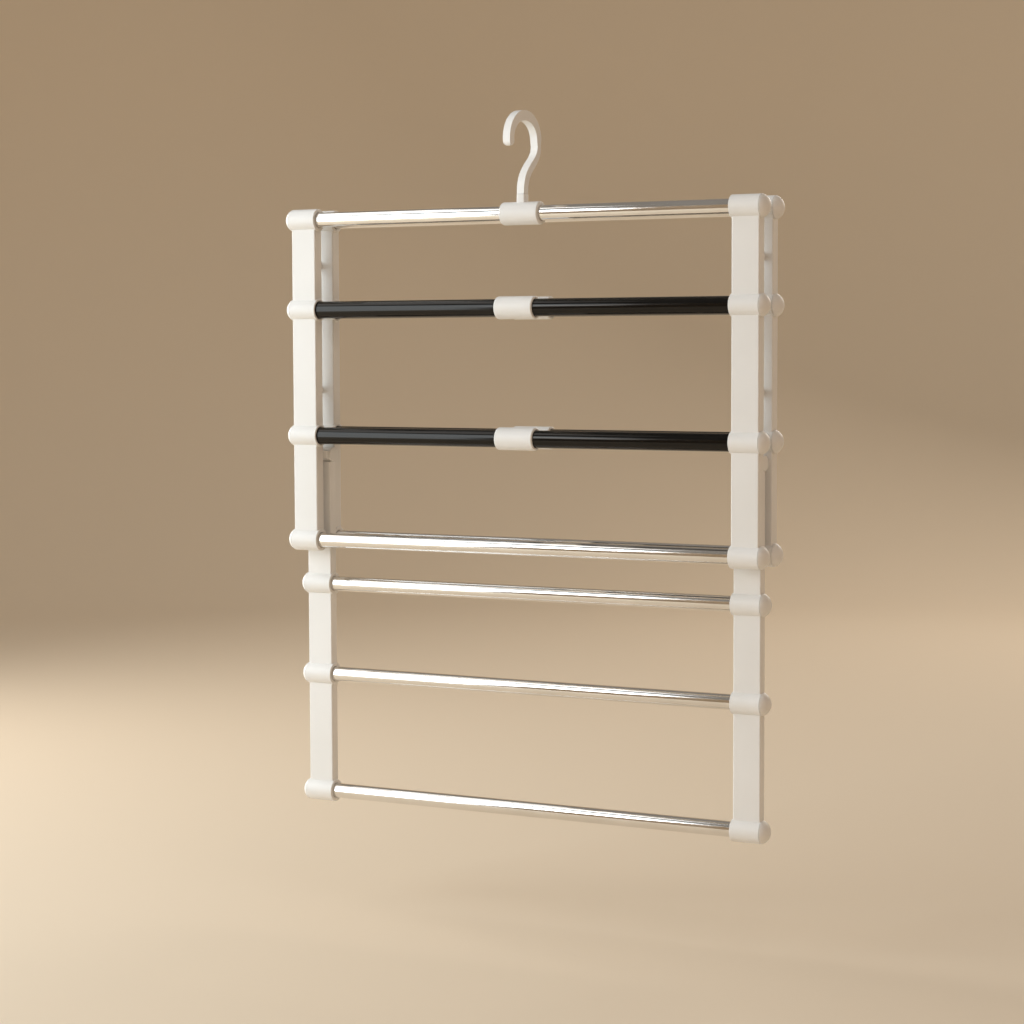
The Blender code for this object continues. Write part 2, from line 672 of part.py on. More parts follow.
def build():
    """The whole rack."""
    start_scene()
    looks = {
        "white": make_material("off_white_plastic", OFF_WHITE, 0.38, 0.0),
        "chrome": make_material("chromed_steel", CHROME, 0.08, 1.0),
        "black": make_material("black_grip_coat", BLACK, 0.22, 0.0),
        "steel": make_material("zinc_steel", STEEL, 0.35, 1.0),
    }
    hook_point = add_empty("hook_point", None, (0, 0, 0))
    hook_point.rotation_euler.z = math.radians(HOOK_TURN_DEGREES)
    add_hook(hook_point, looks["white"])
    add_hook_ring(hook_point, looks["steel"])
    rack = add_empty("rack_point", None, (-SLEEVE_SHIFT, 0, -HOOK_DROP))
    add_hook_sleeve(rack, looks["white"])
    for prefix, place_y, through in (("front", 0, False), ("rear", FRAME_PITCH, True)):
        for hand, side in SIDES:
            add_upper_rail(f"{prefix}_{hand}_rail", rack, side, place_y, through, looks["white"])
        add_bars(prefix, rack, RACK_WIDTH, place_y, UPPER_BARS, looks)
    add_twin_clip("second_twin_clip", rack, SECOND_DROP, looks["white"])
    add_twin_clip("third_twin_clip", rack, THIRD_DROP, looks["white"])
    add_spacers(rack, looks)
    slide = add_empty("slide_point", rack, (0, FRAME_PITCH / 2, 0))
    for hand, side in SIDES:
        add_lower_rail(f"lower_{hand}_rail", slide, side, looks["white"])
        add_shoe(f"{hand}_slide_shoe", slide, side, looks["white"])
    add_bars("lower", slide, LOWER_WIDTH, 0, LOWER_BARS, looks)


build()
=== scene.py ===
# %% [markdown]
# # A hanging trouser rack
# The rack is a pair of ladder frames, front and rear, and a third ladder that slides down between them.
# Its working solids come packed from the CAD model. They are exact but coarse, with sixteen sides to a tube.
# This lesson models each piece again with smooth walls and soft edges, and gives it the finish of the real one.

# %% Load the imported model
import math

import bmesh
import bpy
from mathutils import Matrix, Vector


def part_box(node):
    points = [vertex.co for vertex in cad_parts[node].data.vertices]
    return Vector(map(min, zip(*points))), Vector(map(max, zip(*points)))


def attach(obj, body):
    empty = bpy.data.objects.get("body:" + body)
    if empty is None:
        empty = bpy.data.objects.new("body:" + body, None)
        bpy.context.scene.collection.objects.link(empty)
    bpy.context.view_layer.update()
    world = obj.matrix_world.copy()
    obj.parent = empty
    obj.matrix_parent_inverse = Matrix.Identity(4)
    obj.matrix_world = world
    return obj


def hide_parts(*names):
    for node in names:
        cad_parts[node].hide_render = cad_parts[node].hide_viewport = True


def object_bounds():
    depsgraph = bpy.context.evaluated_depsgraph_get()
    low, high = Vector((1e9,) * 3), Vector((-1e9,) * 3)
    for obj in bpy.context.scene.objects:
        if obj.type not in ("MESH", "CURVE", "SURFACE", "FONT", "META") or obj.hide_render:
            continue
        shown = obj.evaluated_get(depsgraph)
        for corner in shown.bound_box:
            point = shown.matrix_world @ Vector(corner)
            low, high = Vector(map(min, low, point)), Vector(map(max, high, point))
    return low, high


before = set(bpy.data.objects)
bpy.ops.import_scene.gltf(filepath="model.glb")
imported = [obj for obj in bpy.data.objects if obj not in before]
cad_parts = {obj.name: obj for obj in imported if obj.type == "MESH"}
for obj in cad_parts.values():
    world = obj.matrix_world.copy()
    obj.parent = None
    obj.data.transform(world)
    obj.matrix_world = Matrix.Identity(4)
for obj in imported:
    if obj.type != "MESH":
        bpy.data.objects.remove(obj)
cad_low, cad_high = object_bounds()
print("CAD box in mm:", [round(value * 1000, 1) for value in cad_high - cad_low])

# %% [markdown]
# ## Sizes that the pieces share
# Lengths are in metres, X runs along the bars, Y to the rear and Z up. Where a piece has a box of its own in
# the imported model, its place is read from there. The walls and edges that no box shows are named here, and so
# are the numbers of sides on round pieces and of steps in a rounded edge. Places nearer than TOUCH count as
# one, ALIGNED and CROSSWISE say how straight an edge runs, and GRIPPED picks the bars that wear a black coat.

# %% Shared sizes
FIT_GAP = 0.0003
TOUCH = FIT_GAP / 10
TUBE_RADIUS = 0.008
TUBE_WALL = 0.001
GRIP_RADIUS = 0.0093
GRIP_WALL = 0.001
SOCKET_RADIUS = 0.012
SOCKET_LIP = 0.0015
SOCKET_PROUD = 0.0006
RAIL_WIDTH = 0.030
RAIL_DEPTH = 0.013
LOWER_RAIL_DEPTH = 0.011
RAIL_WALL = 0.0022
RAIL_EDGE = 0.0014
RIB_THICKNESS = 0.0016
BAY_END = 0.013
ROUND_SIDES = 72
SMALL_SIDES = 48
SCREW_SIDES = 40
HOLE_SIDES = 32
BREAK_STEPS = 2
CORNER_STEPS = 3
ROUND_STEPS = 4
SOFT_STEPS = 5
SMOOTH_ANGLE = math.radians(32)
SHARP_ANGLE = math.radians(60)
ALIGNED = 0.9
CROSSWISE = 0.5
X, Y, Z = range(3)
SIDES = (("left", -1), ("right", 1))
UPPER_LABELS = ("top", "second", "third", "bottom")
LOWER_LABELS = ("top", "middle", "bottom")
GRIPPED = slice(1, 3)
FRAMES = (
    ("front", UPPER_LABELS, "frame"),
    ("rear", UPPER_LABELS, "frame"),
    ("lower", LOWER_LABELS, "lower_frame"),
)


def bar_line(node_name):
    """The depth and height of a bar's axis, read from its solid."""
    low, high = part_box(node_name)
    return (low.y + high.y) / 2, (low.z + high.z) / 2


front_y = bar_line("front_top_bar")[0]
rear_y = bar_line("rear_top_bar")[0]
lower_y = bar_line("lower_top_bar")[0]
upper_heights = [bar_line(f"front_{label}_bar")[1] for label in UPPER_LABELS]
lower_heights = [bar_line(f"lower_{label}_bar")[1] for label in LOWER_LABELS]
print("bar heights in mm:", [round(height * 1000, 1) for height in upper_heights + lower_heights])

# %% [markdown]
# ## Helpers for working as by hand
# An operator acts on whatever is selected, so each piece starts with nothing selected. In edit mode, faces and
# edges are chosen in code by their place or their normal, which stays true when a size changes.

# %% Selecting and applying
def only(piece):
    """Makes one object the only one that is selected."""
    bpy.ops.object.select_all(action="DESELECT")
    piece.select_set(True)
    bpy.context.view_layer.objects.active = piece


def start_clean():
    """Deselects everything, before a primitive is added."""
    bpy.ops.object.select_all(action="DESELECT")


def settle(name):
    """Names the new primitive and moves its place and turn into its mesh."""
    piece = bpy.context.object
    piece.name = name
    piece.data.name = name
    bpy.ops.object.transform_apply(location=True, rotation=True, scale=True)
    return piece


def pick(piece, kind, test):
    """In edit mode, selects the faces or edges that pass a test, and no others."""
    bpy.ops.mesh.select_mode(type=kind)
    bpy.ops.mesh.select_all(action="DESELECT")
    shape = bmesh.from_edit_mesh(piece.data)
    shape.normal_update()
    for item in shape.faces if kind == "FACE" else shape.edges:
        item.select_set(test(item))
    shape.select_flush_mode()
    bmesh.update_edit_mesh(piece.data)


def middle(edge):
    """The middle of an edge."""
    return (edge.verts[0].co + edge.verts[1].co) / 2


def along(edge, axis):
    """How far an edge runs along an axis, from 0 for square to it up to 1."""
    return abs((edge.verts[1].co - edge.verts[0].co).normalized()[axis])


def runs(edge, axis):
    """Whether an edge runs along an axis."""
    return along(edge, axis) > ALIGNED


def circles(edge, axis):
    """Whether an edge lies on a rim of a rod along an axis."""
    return along(edge, axis) < CROSSWISE


def apply_modifier(piece, kind, **settings):
    """Adds a modifier, sets it and applies it."""
    only(piece)
    modifier = piece.modifiers.new(kind.lower(), kind)
    for key, value in settings.items():
        setattr(modifier, key, value)
    bpy.ops.object.modifier_apply(modifier=modifier.name)


def combine(piece, tool, operation):
    """Cuts a tool out of a piece, or joins it to the piece, and removes the tool."""
    apply_modifier(piece, "BOOLEAN", operation=operation, solver="EXACT", object=tool)
    bpy.data.objects.remove(tool)


def bevel_edges(piece, test, width, segments):
    """Rounds the edges that pass a test."""
    only(piece)
    bpy.ops.object.mode_set(mode="EDIT")
    pick(piece, "EDGE", test)
    bpy.ops.mesh.bevel(offset=width, segments=segments, profile=0.5, affect="EDGES")
    bpy.ops.object.mode_set(mode="OBJECT")


# %% [markdown]
# ### Rods and boxes
# Nearly every piece here starts as a round rod or a box. The primitive is added at its real size and place,
# and `transform_apply` then moves both into the mesh, so that the object itself stays at the origin. A tube is
# a rod without ends that gets its wall from Solidify, and Bevel breaks its rims as deburring does. A stepped
# rod could be a spun profile, but extruding and widening its end needs no drawing and keeps clean rings.

# %% Rods and boxes
TURNS = {X: (0, math.pi / 2, 0), Y: (math.pi / 2, 0, 0), Z: (0, 0, 0)}


def add_rod(name, radius, length, centre, axis=X, sides=ROUND_SIDES, ends="NGON"):
    """A round rod along an axis, about its centre."""
    start_clean()
    bpy.ops.mesh.primitive_cylinder_add(
        vertices=sides, radius=radius, depth=length, end_fill_type=ends, location=centre, rotation=TURNS[axis]
    )
    return settle(name)


def add_tube(name, radius, wall, length, centre, edge_break, axis=X, sides=ROUND_SIDES):
    """An open tube along an axis, about its centre."""
    tube = add_rod(name, radius, length, centre, axis, sides, "NOTHING")
    apply_modifier(tube, "SOLIDIFY", thickness=wall, offset=-1, use_even_offset=True)
    is_rim = lambda edge: circles(edge, axis) and edge.calc_face_angle(0) > SHARP_ANGLE
    bevel_edges(tube, is_rim, edge_break, BREAK_STEPS)
    return tube


def add_box(name, low, high):
    """A box between two corners."""
    start_clean()
    centre = (Vector(low) + Vector(high)) / 2
    size = Vector(high) - Vector(low)
    bpy.ops.mesh.primitive_cube_add(size=1, location=centre, scale=size)
    return settle(name)


def add_soft_box(name, low, high, axis, width, segments=BREAK_STEPS):
    """A box whose edges along one axis are rounded."""
    box = add_box(name, low, high)
    bevel_edges(box, lambda edge: runs(edge, axis), width, segments)
    return box


def add_stepped_rod(name, steps, sides):
    """A round rod up the Z axis from the origin, one step of radius and height on top of another."""
    radius, level = steps[0]
    rod = add_rod(name, radius, level, (0, 0, level / 2), Z, sides)
    bpy.ops.object.mode_set(mode="EDIT")
    for wide, rise in steps[1:]:
        floor = level - TOUCH
        pick(rod, "FACE", lambda face: face.normal.z > ALIGNED and face.calc_center_median().z > floor)
        bpy.ops.mesh.extrude_region_move(TRANSFORM_OT_translate={"value": (0, 0, 0)})
        bpy.ops.transform.resize(value=(wide / radius, wide / radius, 1), center_override=(0, 0, level))
        bpy.ops.mesh.extrude_region_move(TRANSFORM_OT_translate={"value": (0, 0, rise)})
        radius, level = wide, level + rise
    bpy.ops.object.mode_set(mode="OBJECT")
    return rod


def bore_out(piece, radius, length, centre, axis=X, sides=ROUND_SIDES):
    """Cuts a round bore through a piece, about the bore's centre."""
    combine(piece, add_rod("bore", radius, length, centre, axis, sides), "DIFFERENCE")


# %% [markdown]
# ## Effects that several materials share
# Moulded plastic, chrome and paint all differ a little from place to place. A node group is built once for
# each such effect and then placed in each material with values of its own. The groups put out only masks and
# heights, and each material keeps its own shader.

# %% Building a node group
def new_group(name, inputs, outputs):
    """An empty shader node group with named sockets."""
    group = bpy.data.node_groups.new(name, "ShaderNodeTree")
    for socket_name, kind, value in inputs:
        socket = group.interface.new_socket(socket_name, in_out="INPUT", socket_type=kind)
        socket.default_value = value
    for socket_name, kind in outputs:
        group.interface.new_socket(socket_name, in_out="OUTPUT", socket_type=kind)
    return group, group.nodes.new("NodeGroupInput"), group.nodes.new("NodeGroupOutput")


def node(tree, kind, **settings):
    """A node with its settings: an attribute, or the value of the input of that name."""
    made = tree.nodes.new(kind)
    for key, value in settings.items():
        if hasattr(made, key):
            setattr(made, key, value)
        else:
            made.inputs[key.replace("_", " ")].default_value = value
    return made


def noise(group, place, scale, detail, roughness=0.5, distortion=0.0):
    """A Noise texture at a place, whose scale is an input of the group."""
    made = node(group, "ShaderNodeTexNoise", Detail=detail, Roughness=roughness, Distortion=distortion)
    group.links.new(place, made.inputs["Vector"])
    group.links.new(scale, made.inputs["Scale"])
    return made.outputs["Fac"]


def math_node(tree, operation, first, second):
    """A Math node; each side is a socket or a number."""
    made = node(tree, "ShaderNodeMath", operation=operation)
    for slot_number, side in enumerate((first, second)):
        if isinstance(side, (int, float)):
            made.inputs[slot_number].default_value = side
        else:
            tree.links.new(side, made.inputs[slot_number])
    return made.outputs[0]


# %% [markdown]
# ### Moulded grain
# The steel mould of the rails was blasted with sand, and the plastic copies its grain. A photograph of such a
# surface could be wrapped round it, but noise in Object coordinates has no seams. Fine noise makes the grain,
# and slow noise makes the faint clouds that thick and thin places show.

# %% Moulded grain
FLOAT = "NodeSocketFloat"


def moulded_grain_group():
    """The fine sand-blasted grain and slow shade changes of a moulded surface."""
    inputs = (("Grain Scale", FLOAT, 2500.0), ("Cloud Scale", FLOAT, 14.0))
    outputs = (("Grain", FLOAT), ("Cloud", FLOAT))
    group, start, end = new_group("moulded_grain", inputs, outputs)
    place = node(group, "ShaderNodeTexCoord").outputs["Object"]
    grain = noise(group, place, start.outputs["Grain Scale"], detail=3.0, roughness=0.65)
    cloud = noise(group, place, start.outputs["Cloud Scale"], detail=2.0)
    group.links.new(grain, end.inputs["Grain"])
    group.links.new(cloud, end.inputs["Cloud"])
    return group


moulded_grain = moulded_grain_group()
print("group", moulded_grain.name)

# %% [markdown]
# ### Worn edges
# Corners are what sleeves and hands rub first. Cycles knows how sharply a mesh bends at each point, as
# Pointiness. A Map Range keeps only its bright end, and noise breaks that into patches, as wear is never even.

# %% Worn edges
def worn_edges_group():
    """A mask that is bright on corners that hands and cloth rub."""
    inputs = (("Low", FLOAT, 0.505), ("High", FLOAT, 0.56), ("Patch Scale", FLOAT, 60.0))
    group, start, end = new_group("worn_edges", inputs, (("Wear", FLOAT),))
    shape = node(group, "ShaderNodeNewGeometry")
    edge = node(group, "ShaderNodeMapRange")
    group.links.new(shape.outputs["Pointiness"], edge.inputs["Value"])
    group.links.new(start.outputs["Low"], edge.inputs["From Min"])
    group.links.new(start.outputs["High"], edge.inputs["From Max"])
    place = node(group, "ShaderNodeTexCoord").outputs["Object"]
    patch = noise(group, place, start.outputs["Patch Scale"], detail=2.0)
    wear = math_node(group, "MULTIPLY", edge.outputs["Result"], patch)
    group.links.new(wear, end.inputs["Wear"])
    return group


worn_edges = worn_edges_group()
print("group", worn_edges.name)

# %% [markdown]
# ### Drawn lines
# A tube is pulled through a die and polished along its length, which leaves lines that only run along X.
# Noise whose X is squeezed almost flat gives such lines. A second, cloudy noise stands for smudges from hands.

# %% Drawn lines
def drawn_lines_group():
    """Faint lines along X, as drawing and polishing leave on a tube, with smudges from hands."""
    inputs = (("Line Scale", FLOAT, 900.0), ("Stretch", FLOAT, 0.01), ("Smudge Scale", FLOAT, 22.0))
    outputs = (("Lines", FLOAT), ("Smudge", FLOAT))
    group, start, end = new_group("drawn_lines", inputs, outputs)
    place = node(group, "ShaderNodeTexCoord").outputs["Object"]
    squeeze = node(group, "ShaderNodeCombineXYZ", Y=1.0, Z=1.0)
    group.links.new(start.outputs["Stretch"], squeeze.inputs["X"])
    drawn = node(group, "ShaderNodeVectorMath", operation="MULTIPLY")
    group.links.new(place, drawn.inputs[0])
    group.links.new(squeeze.outputs["Vector"], drawn.inputs[1])
    lines = noise(group, drawn.outputs["Vector"], start.outputs["Line Scale"], detail=4.0, roughness=0.7)
    smudge = noise(group, place, start.outputs["Smudge Scale"], detail=3.0, roughness=0.55, distortion=0.6)
    group.links.new(lines, end.inputs["Lines"])
    group.links.new(smudge, end.inputs["Smudge"])
    return group


drawn_lines = drawn_lines_group()
print("group", drawn_lines.name)

# %% [markdown]
# ## The four finishes
# The rails, caps, sleeves and hook are one off-white plastic with a satin face. The bars are chromed steel
# tube. Two pairs of bars wear a glossy black coat, and the screws behind are zinc plated.

# %% Parts of a material
def new_material(name, **values):
    """A material, its node tree and its Principled shader, with the values that are the same all over."""
    material = bpy.data.materials.new(name)
    material.use_nodes = True
    shader = material.node_tree.nodes["Principled BSDF"]
    for key, value in values.items():
        shader.inputs[key.replace("_", " ")].default_value = value
    return material, material.node_tree, shader


def place_group(tree, group, **values):
    """A group in a material, with values of its own."""
    return node(tree, "ShaderNodeGroup", node_tree=group, **values)


def ramp(tree, source, stops):
    """A colour ramp between two stops, each a place and a colour."""
    made = node(tree, "ShaderNodeValToRGB")
    for element, (place, colour) in zip(made.color_ramp.elements, stops):
        element.position = place
        element.color = (*colour, 1.0)
    tree.links.new(source, made.inputs["Fac"])
    return made.outputs["Color"]


def spread(tree, source, low, high):
    """A number that follows a mask from one value to another."""
    made = node(tree, "ShaderNodeMapRange", To_Min=low, To_Max=high)
    tree.links.new(source, made.inputs["Value"])
    return made.outputs["Result"]


def mix_colours(tree, factor, first, second):
    """A colour mixed by a mask, from a socket's colour to a fixed one."""
    made = node(tree, "ShaderNodeMix", data_type="RGBA")
    tree.links.new(factor, made.inputs["Factor"])
    tree.links.new(first, made.inputs[6])
    made.inputs[7].default_value = (*second, 1.0)
    return made.outputs[2]


def feed(tree, shader, colour, roughness, height, strength, distance):
    """Gives a shader its colour, its roughness and the bump of a height."""
    made = node(tree, "ShaderNodeBump", Strength=strength, Distance=distance)
    tree.links.new(height, made.inputs["Height"])
    tree.links.new(made.outputs["Normal"], shader.inputs["Normal"])
    tree.links.new(colour, shader.inputs["Base Color"])
    tree.links.new(roughness, shader.inputs["Roughness"])


# %% [markdown]
# ### Off-white plastic
# The rails and the hook are polypropylene: warm white, satin, and a little shinier where an edge is rubbed.
# Roughness between 0.34 and 0.50 gives the broad soft highlight of the real one. Its grain is so fine that the
# bump's distance is under a tenth of a millimetre.

# %% Off-white plastic
POLISH = 0.12


def off_white_plastic():
    """Satin polypropylene: warm white, fine grain, a slightly shinier rubbed edge."""
    material, tree, shader = new_material("off_white_plastic", IOR=1.49)
    grain = place_group(tree, moulded_grain, Grain_Scale=2600.0, Cloud_Scale=11.0)
    wear = place_group(tree, worn_edges, Low=0.51, High=0.58, Patch_Scale=70.0)
    shades = ((0.3, (0.80, 0.79, 0.765)), (0.7, (0.835, 0.825, 0.805)))
    shade = ramp(tree, grain.outputs["Cloud"], shades)
    rubbed = mix_colours(tree, wear.outputs["Wear"], shade, (0.88, 0.875, 0.86))
    satin = spread(tree, grain.outputs["Grain"], low=0.34, high=0.50)
    polish = math_node(tree, "MULTIPLY", wear.outputs["Wear"], POLISH)
    satin = math_node(tree, "SUBTRACT", satin, polish)
    feed(tree, shader, rubbed, satin, grain.outputs["Grain"], strength=0.25, distance=0.00008)
    return material


white = off_white_plastic()
print("material", white.name)

# %% [markdown]
# ### Chromed steel
# Chrome is a metal, so its colour is that of its reflection. It is set a little darker than white, because it
# takes up a part of the light. Smudges only change how sharp the reflection is, and the drawn lines bend it.

# %% Chromed steel
def chromed_steel():
    """Bright plating over drawn tube, with faint lines and the haze that hands leave."""
    material, tree, shader = new_material("chromed_steel", Metallic=1.0)
    marks = place_group(tree, drawn_lines, Line_Scale=1400.0, Stretch=0.004, Smudge_Scale=18.0)
    tone = ramp(tree, marks.outputs["Smudge"], ((0.35, (0.80, 0.79, 0.775)), (0.7, (0.86, 0.855, 0.85))))
    haze = spread(tree, marks.outputs["Smudge"], low=0.045, high=0.11)
    feed(tree, shader, tone, haze, marks.outputs["Lines"], strength=0.12, distance=0.00003)
    return material


chrome = chromed_steel()
print("material", chrome.name)

# %% [markdown]
# ### Black coat
# Trousers slip off chrome, so the second and third bars wear a glossy black sleeve. Nearly all that the eye
# sees of it is reflection. The base is close to black, a low index of refraction keeps the gloss modest, and a
# warm tint takes the blue out of its highlight.

# %% Black coat
def black_coat():
    """A glossy black sleeve that trousers don't slip on, with fine lines from its die."""
    tint = (1.0, 0.95, 0.90, 1.0)
    material, tree, shader = new_material("black_grip_coat", IOR=1.37, Specular_Tint=tint)
    marks = place_group(tree, drawn_lines, Line_Scale=700.0, Stretch=0.006, Smudge_Scale=26.0)
    tone = ramp(tree, marks.outputs["Smudge"], ((0.3, (0.002, 0.002, 0.002)), (0.7, (0.0045, 0.004, 0.0035))))
    haze = spread(tree, marks.outputs["Smudge"], low=0.06, high=0.13)
    feed(tree, shader, tone, haze, marks.outputs["Lines"], strength=0.15, distance=0.00005)
    return material


black = black_coat()
print("material", black.name)

# %% [markdown]
# ### Zinc plate
# The screws and the ring are hidden from most sides. Zinc plate is mottled grey and duller than chrome, which
# the same two groups give at a smaller scale, with brighter metal where a driver has rubbed it.

# %% Zinc plate
def zinc_plate():
    """Bright zinc on the screws and the ring, mottled and a little dull."""
    material, tree, shader = new_material("zinc_plate", Metallic=1.0)
    grain = place_group(tree, moulded_grain, Grain_Scale=900.0, Cloud_Scale=160.0)
    wear = place_group(tree, worn_edges, Low=0.51, High=0.60, Patch_Scale=400.0)
    tone = ramp(tree, grain.outputs["Cloud"], ((0.3, (0.46, 0.46, 0.47)), (0.7, (0.62, 0.62, 0.62))))
    bright = mix_colours(tree, wear.outputs["Wear"], tone, (0.74, 0.74, 0.73))
    mottle = spread(tree, grain.outputs["Grain"], low=0.26, high=0.42)
    feed(tree, shader, bright, mottle, grain.outputs["Grain"], strength=0.2, distance=0.00004)
    return material


zinc = zinc_plate()
print("material", zinc.name)

# %% [markdown]
# ## Handing a piece over
# A finished piece gets smooth walls with crisp creases, its material, the body that it moves with, and the
# solids that it stands for.


def dress(piece, material, body, *nodes):
    """Shades a piece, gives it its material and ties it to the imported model."""
    only(piece)
    bpy.ops.object.shade_smooth_by_angle(angle=SMOOTH_ANGLE)
    apply_modifier(piece, "WEIGHTED_NORMAL", keep_sharp=True)
    piece.data.materials.clear()
    piece.data.materials.append(material)
    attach(piece, body)
    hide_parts(*nodes)
    return piece


def copy_of(piece, name, move):
    """A copy with its own mesh, moved by a matrix."""
    copy = bpy.data.objects.new(name, piece.data.copy())
    bpy.context.scene.collection.objects.link(copy)
    copy.data.name = name
    copy.data.transform(move)
    if move.determinant() < 0:
        only(copy)
        bpy.ops.object.mode_set(mode="EDIT")
        bpy.ops.mesh.select_all(action="SELECT")
        bpy.ops.mesh.normals_make_consistent(inside=False)
        bpy.ops.object.mode_set(mode="OBJECT")
    return copy


# %% [markdown]
# ## Bars
# Each bar is a drawn steel tube of 16 mm with a wall of 1 mm. Its two ends are read from its solid in the
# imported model, so one helper makes bars of every length. It is modelled on the X axis and then moved.

# %% Bars
RIM_BREAK = 0.00015


def lay_tubes(prefix, labels, solid, piece, form, material, body):
    """A tube of one form for each of the named solids of a frame, where the solid lies."""
    for label in labels:
        node_name = f"{prefix}_{label}_{solid}"
        low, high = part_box(node_name)
        centre = ((low.x + high.x) / 2, 0, 0)
        tube = add_tube(f"{prefix}_{label}_{piece}", *form, high.x - low.x, centre, RIM_BREAK)
        depth, height = bar_line(node_name)
        tube.data.transform(Matrix.Translation((0, depth, height)))
        dress(tube, material, body, node_name)


for prefix, labels, body in FRAMES:
    lay_tubes(prefix, labels, "bar", "tube", (TUBE_RADIUS, TUBE_WALL), chrome, body)
print("bars", sum(len(labels) for prefix, labels, body in FRAMES))

# %% [markdown]
# ## Black grips
# The black coats are tubes pushed over the second and third bars. Their ends sit in the sockets, so they are
# a little shorter than the bars inside them, and the same helper reads that from their own solids.

# %% Grips
for prefix in ("front", "rear"):
    lay_tubes(prefix, UPPER_LABELS[GRIPPED], "grip", "coat", (GRIP_RADIUS, GRIP_WALL), black, "frame")
print("grips", 2 * len(UPPER_LABELS[GRIPPED]))

# %% [markdown]
# ## Domed end caps
# A cap is a slice of a ball with a plug below it that presses into the tube. The ball is cut with bisect, the
# flat side is inset and pushed out as the plug, and the rims are rounded.

# %% Caps
CAP_BULGE = 0.008
CAP_PLUG_LENGTH = 0.014
CAP_RIM = 0.0004
PLUG_EDGE = 0.0006
CAP_RINGS = 48


def make_cap():
    """A cap whose dome points along +X and whose flat side lies at X = 0."""
    ball = (SOCKET_RADIUS ** 2 + CAP_BULGE ** 2) / (2 * CAP_BULGE)
    start_clean()
    centre = (CAP_BULGE - ball, 0, 0)
    bpy.ops.mesh.primitive_uv_sphere_add(
        segments=ROUND_SIDES, ring_count=CAP_RINGS, radius=ball, location=centre, rotation=TURNS[X]
    )
    cap = settle("cap")
    bpy.ops.object.mode_set(mode="EDIT")
    bpy.ops.mesh.select_all(action="SELECT")
    bpy.ops.mesh.bisect(plane_co=(0, 0, 0), plane_no=(1, 0, 0), use_fill=True, clear_inner=True)
    pick(cap, "FACE", lambda face: face.normal.x < -ALIGNED)
    bpy.ops.mesh.inset(thickness=SOCKET_RADIUS - TUBE_RADIUS + TUBE_WALL + FIT_GAP)
    bpy.ops.mesh.extrude_region_move(TRANSFORM_OT_translate={"value": (-CAP_PLUG_LENGTH, 0, 0)})
    bpy.ops.object.mode_set(mode="OBJECT")
    outer = SOCKET_RADIUS - FIT_GAP
    is_rim = lambda edge: abs(middle(edge).x) < TOUCH and middle(edge).yz.length > outer
    is_foot = lambda edge: middle(edge).x < FIT_GAP - CAP_PLUG_LENGTH and circles(edge, X)
    bevel_edges(cap, is_rim, CAP_RIM, CORNER_STEPS)
    bevel_edges(cap, is_foot, PLUG_EDGE, BREAK_STEPS)
    return cap


def add_caps(prefix, labels, body, cap):
    """The caps of one frame, each a turned copy of the one that was modelled."""
    for label in labels:
        depth, height = bar_line(f"{prefix}_{label}_bar")
        for hand, side in SIDES:
            node_name = f"{prefix}_{label}_{hand}_cap"
            low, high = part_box(node_name)
            tip = low.x if side < 0 else high.x
            turn = Matrix.Rotation(math.pi if side < 0 else 0, 4, "Z")
            place = Matrix.Translation((tip - side * CAP_BULGE, depth, height))
            dress(copy_of(cap, f"{prefix}_{label}_{hand}_dome", place @ turn), white, body, node_name)


cap = make_cap()
for prefix, labels, body in FRAMES:
    add_caps(prefix, labels, body, cap)
print("cap faces", len(cap.data.polygons))
bpy.data.objects.remove(cap)

# %% [markdown]
# ## Side rails
# A rail is a flat moulded channel with a round socket wherever a bar ends. The block is cut out cell by cell,
# which leaves the ribs standing, and the sockets are joined on and bored. Left and right rails mirror each
# other, so only the left ones are modelled.

# %% Rail block and channel
CELL_CORNER = 0.0009
RIM_ROUND = 0.0004


def rail_block(name, low, high):
    """The rail's block, with its upright edges rounded, those in front the most."""
    block = add_box(name, low, high)
    in_front = lambda edge: runs(edge, Z) and middle(edge).y < low[Y] + FIT_GAP
    behind = lambda edge: runs(edge, Z) and middle(edge).y > high[Y] - FIT_GAP
    bevel_edges(block, in_front, RAIL_EDGE, ROUND_STEPS)
    bevel_edges(block, behind, RIM_ROUND, BREAK_STEPS)
    return block


def cells_between(top, bottom, count):
    """Top and bottom of each cell that ribs leave between two sockets."""
    length = (top - bottom - (count - 1) * RIB_THICKNESS) / count
    tops = [top - number * (length + RIB_THICKNESS) for number in range(count)]
    return [(cell_top, cell_top - length) for cell_top in tops]


def cut_channel(rail, low, high, cells):
    """Cuts the cells into the rear side of the rail."""
    for top, bottom in cells:
        corner = (low[X] + RAIL_WALL, low[Y] + RAIL_WALL, bottom)
        far_corner = (high[X] - RAIL_WALL, high[Y] + RAIL_WALL, top)
        cell = add_soft_box("cell", corner, far_corner, Y, CELL_CORNER, CORNER_STEPS)
        combine(rail, cell, "DIFFERENCE")


# %% [markdown]
# ### Sockets
# A socket is a barrel round the end of a bar. Its ring stands a little proud of the rail on both sides. It
# could be drawn in the rail's outline, but joining rods to the block and boring them in one go is how the
# mould itself is made, and each bore's mouth is rounded, so that it shows a thin shadow round the bar.

# %% Sockets
SOCKET_EDGE = 0.0005
MOUTH_EDGE = 0.0006
GRIP_SEAT = 0.005
BORE_REACH = 1.2


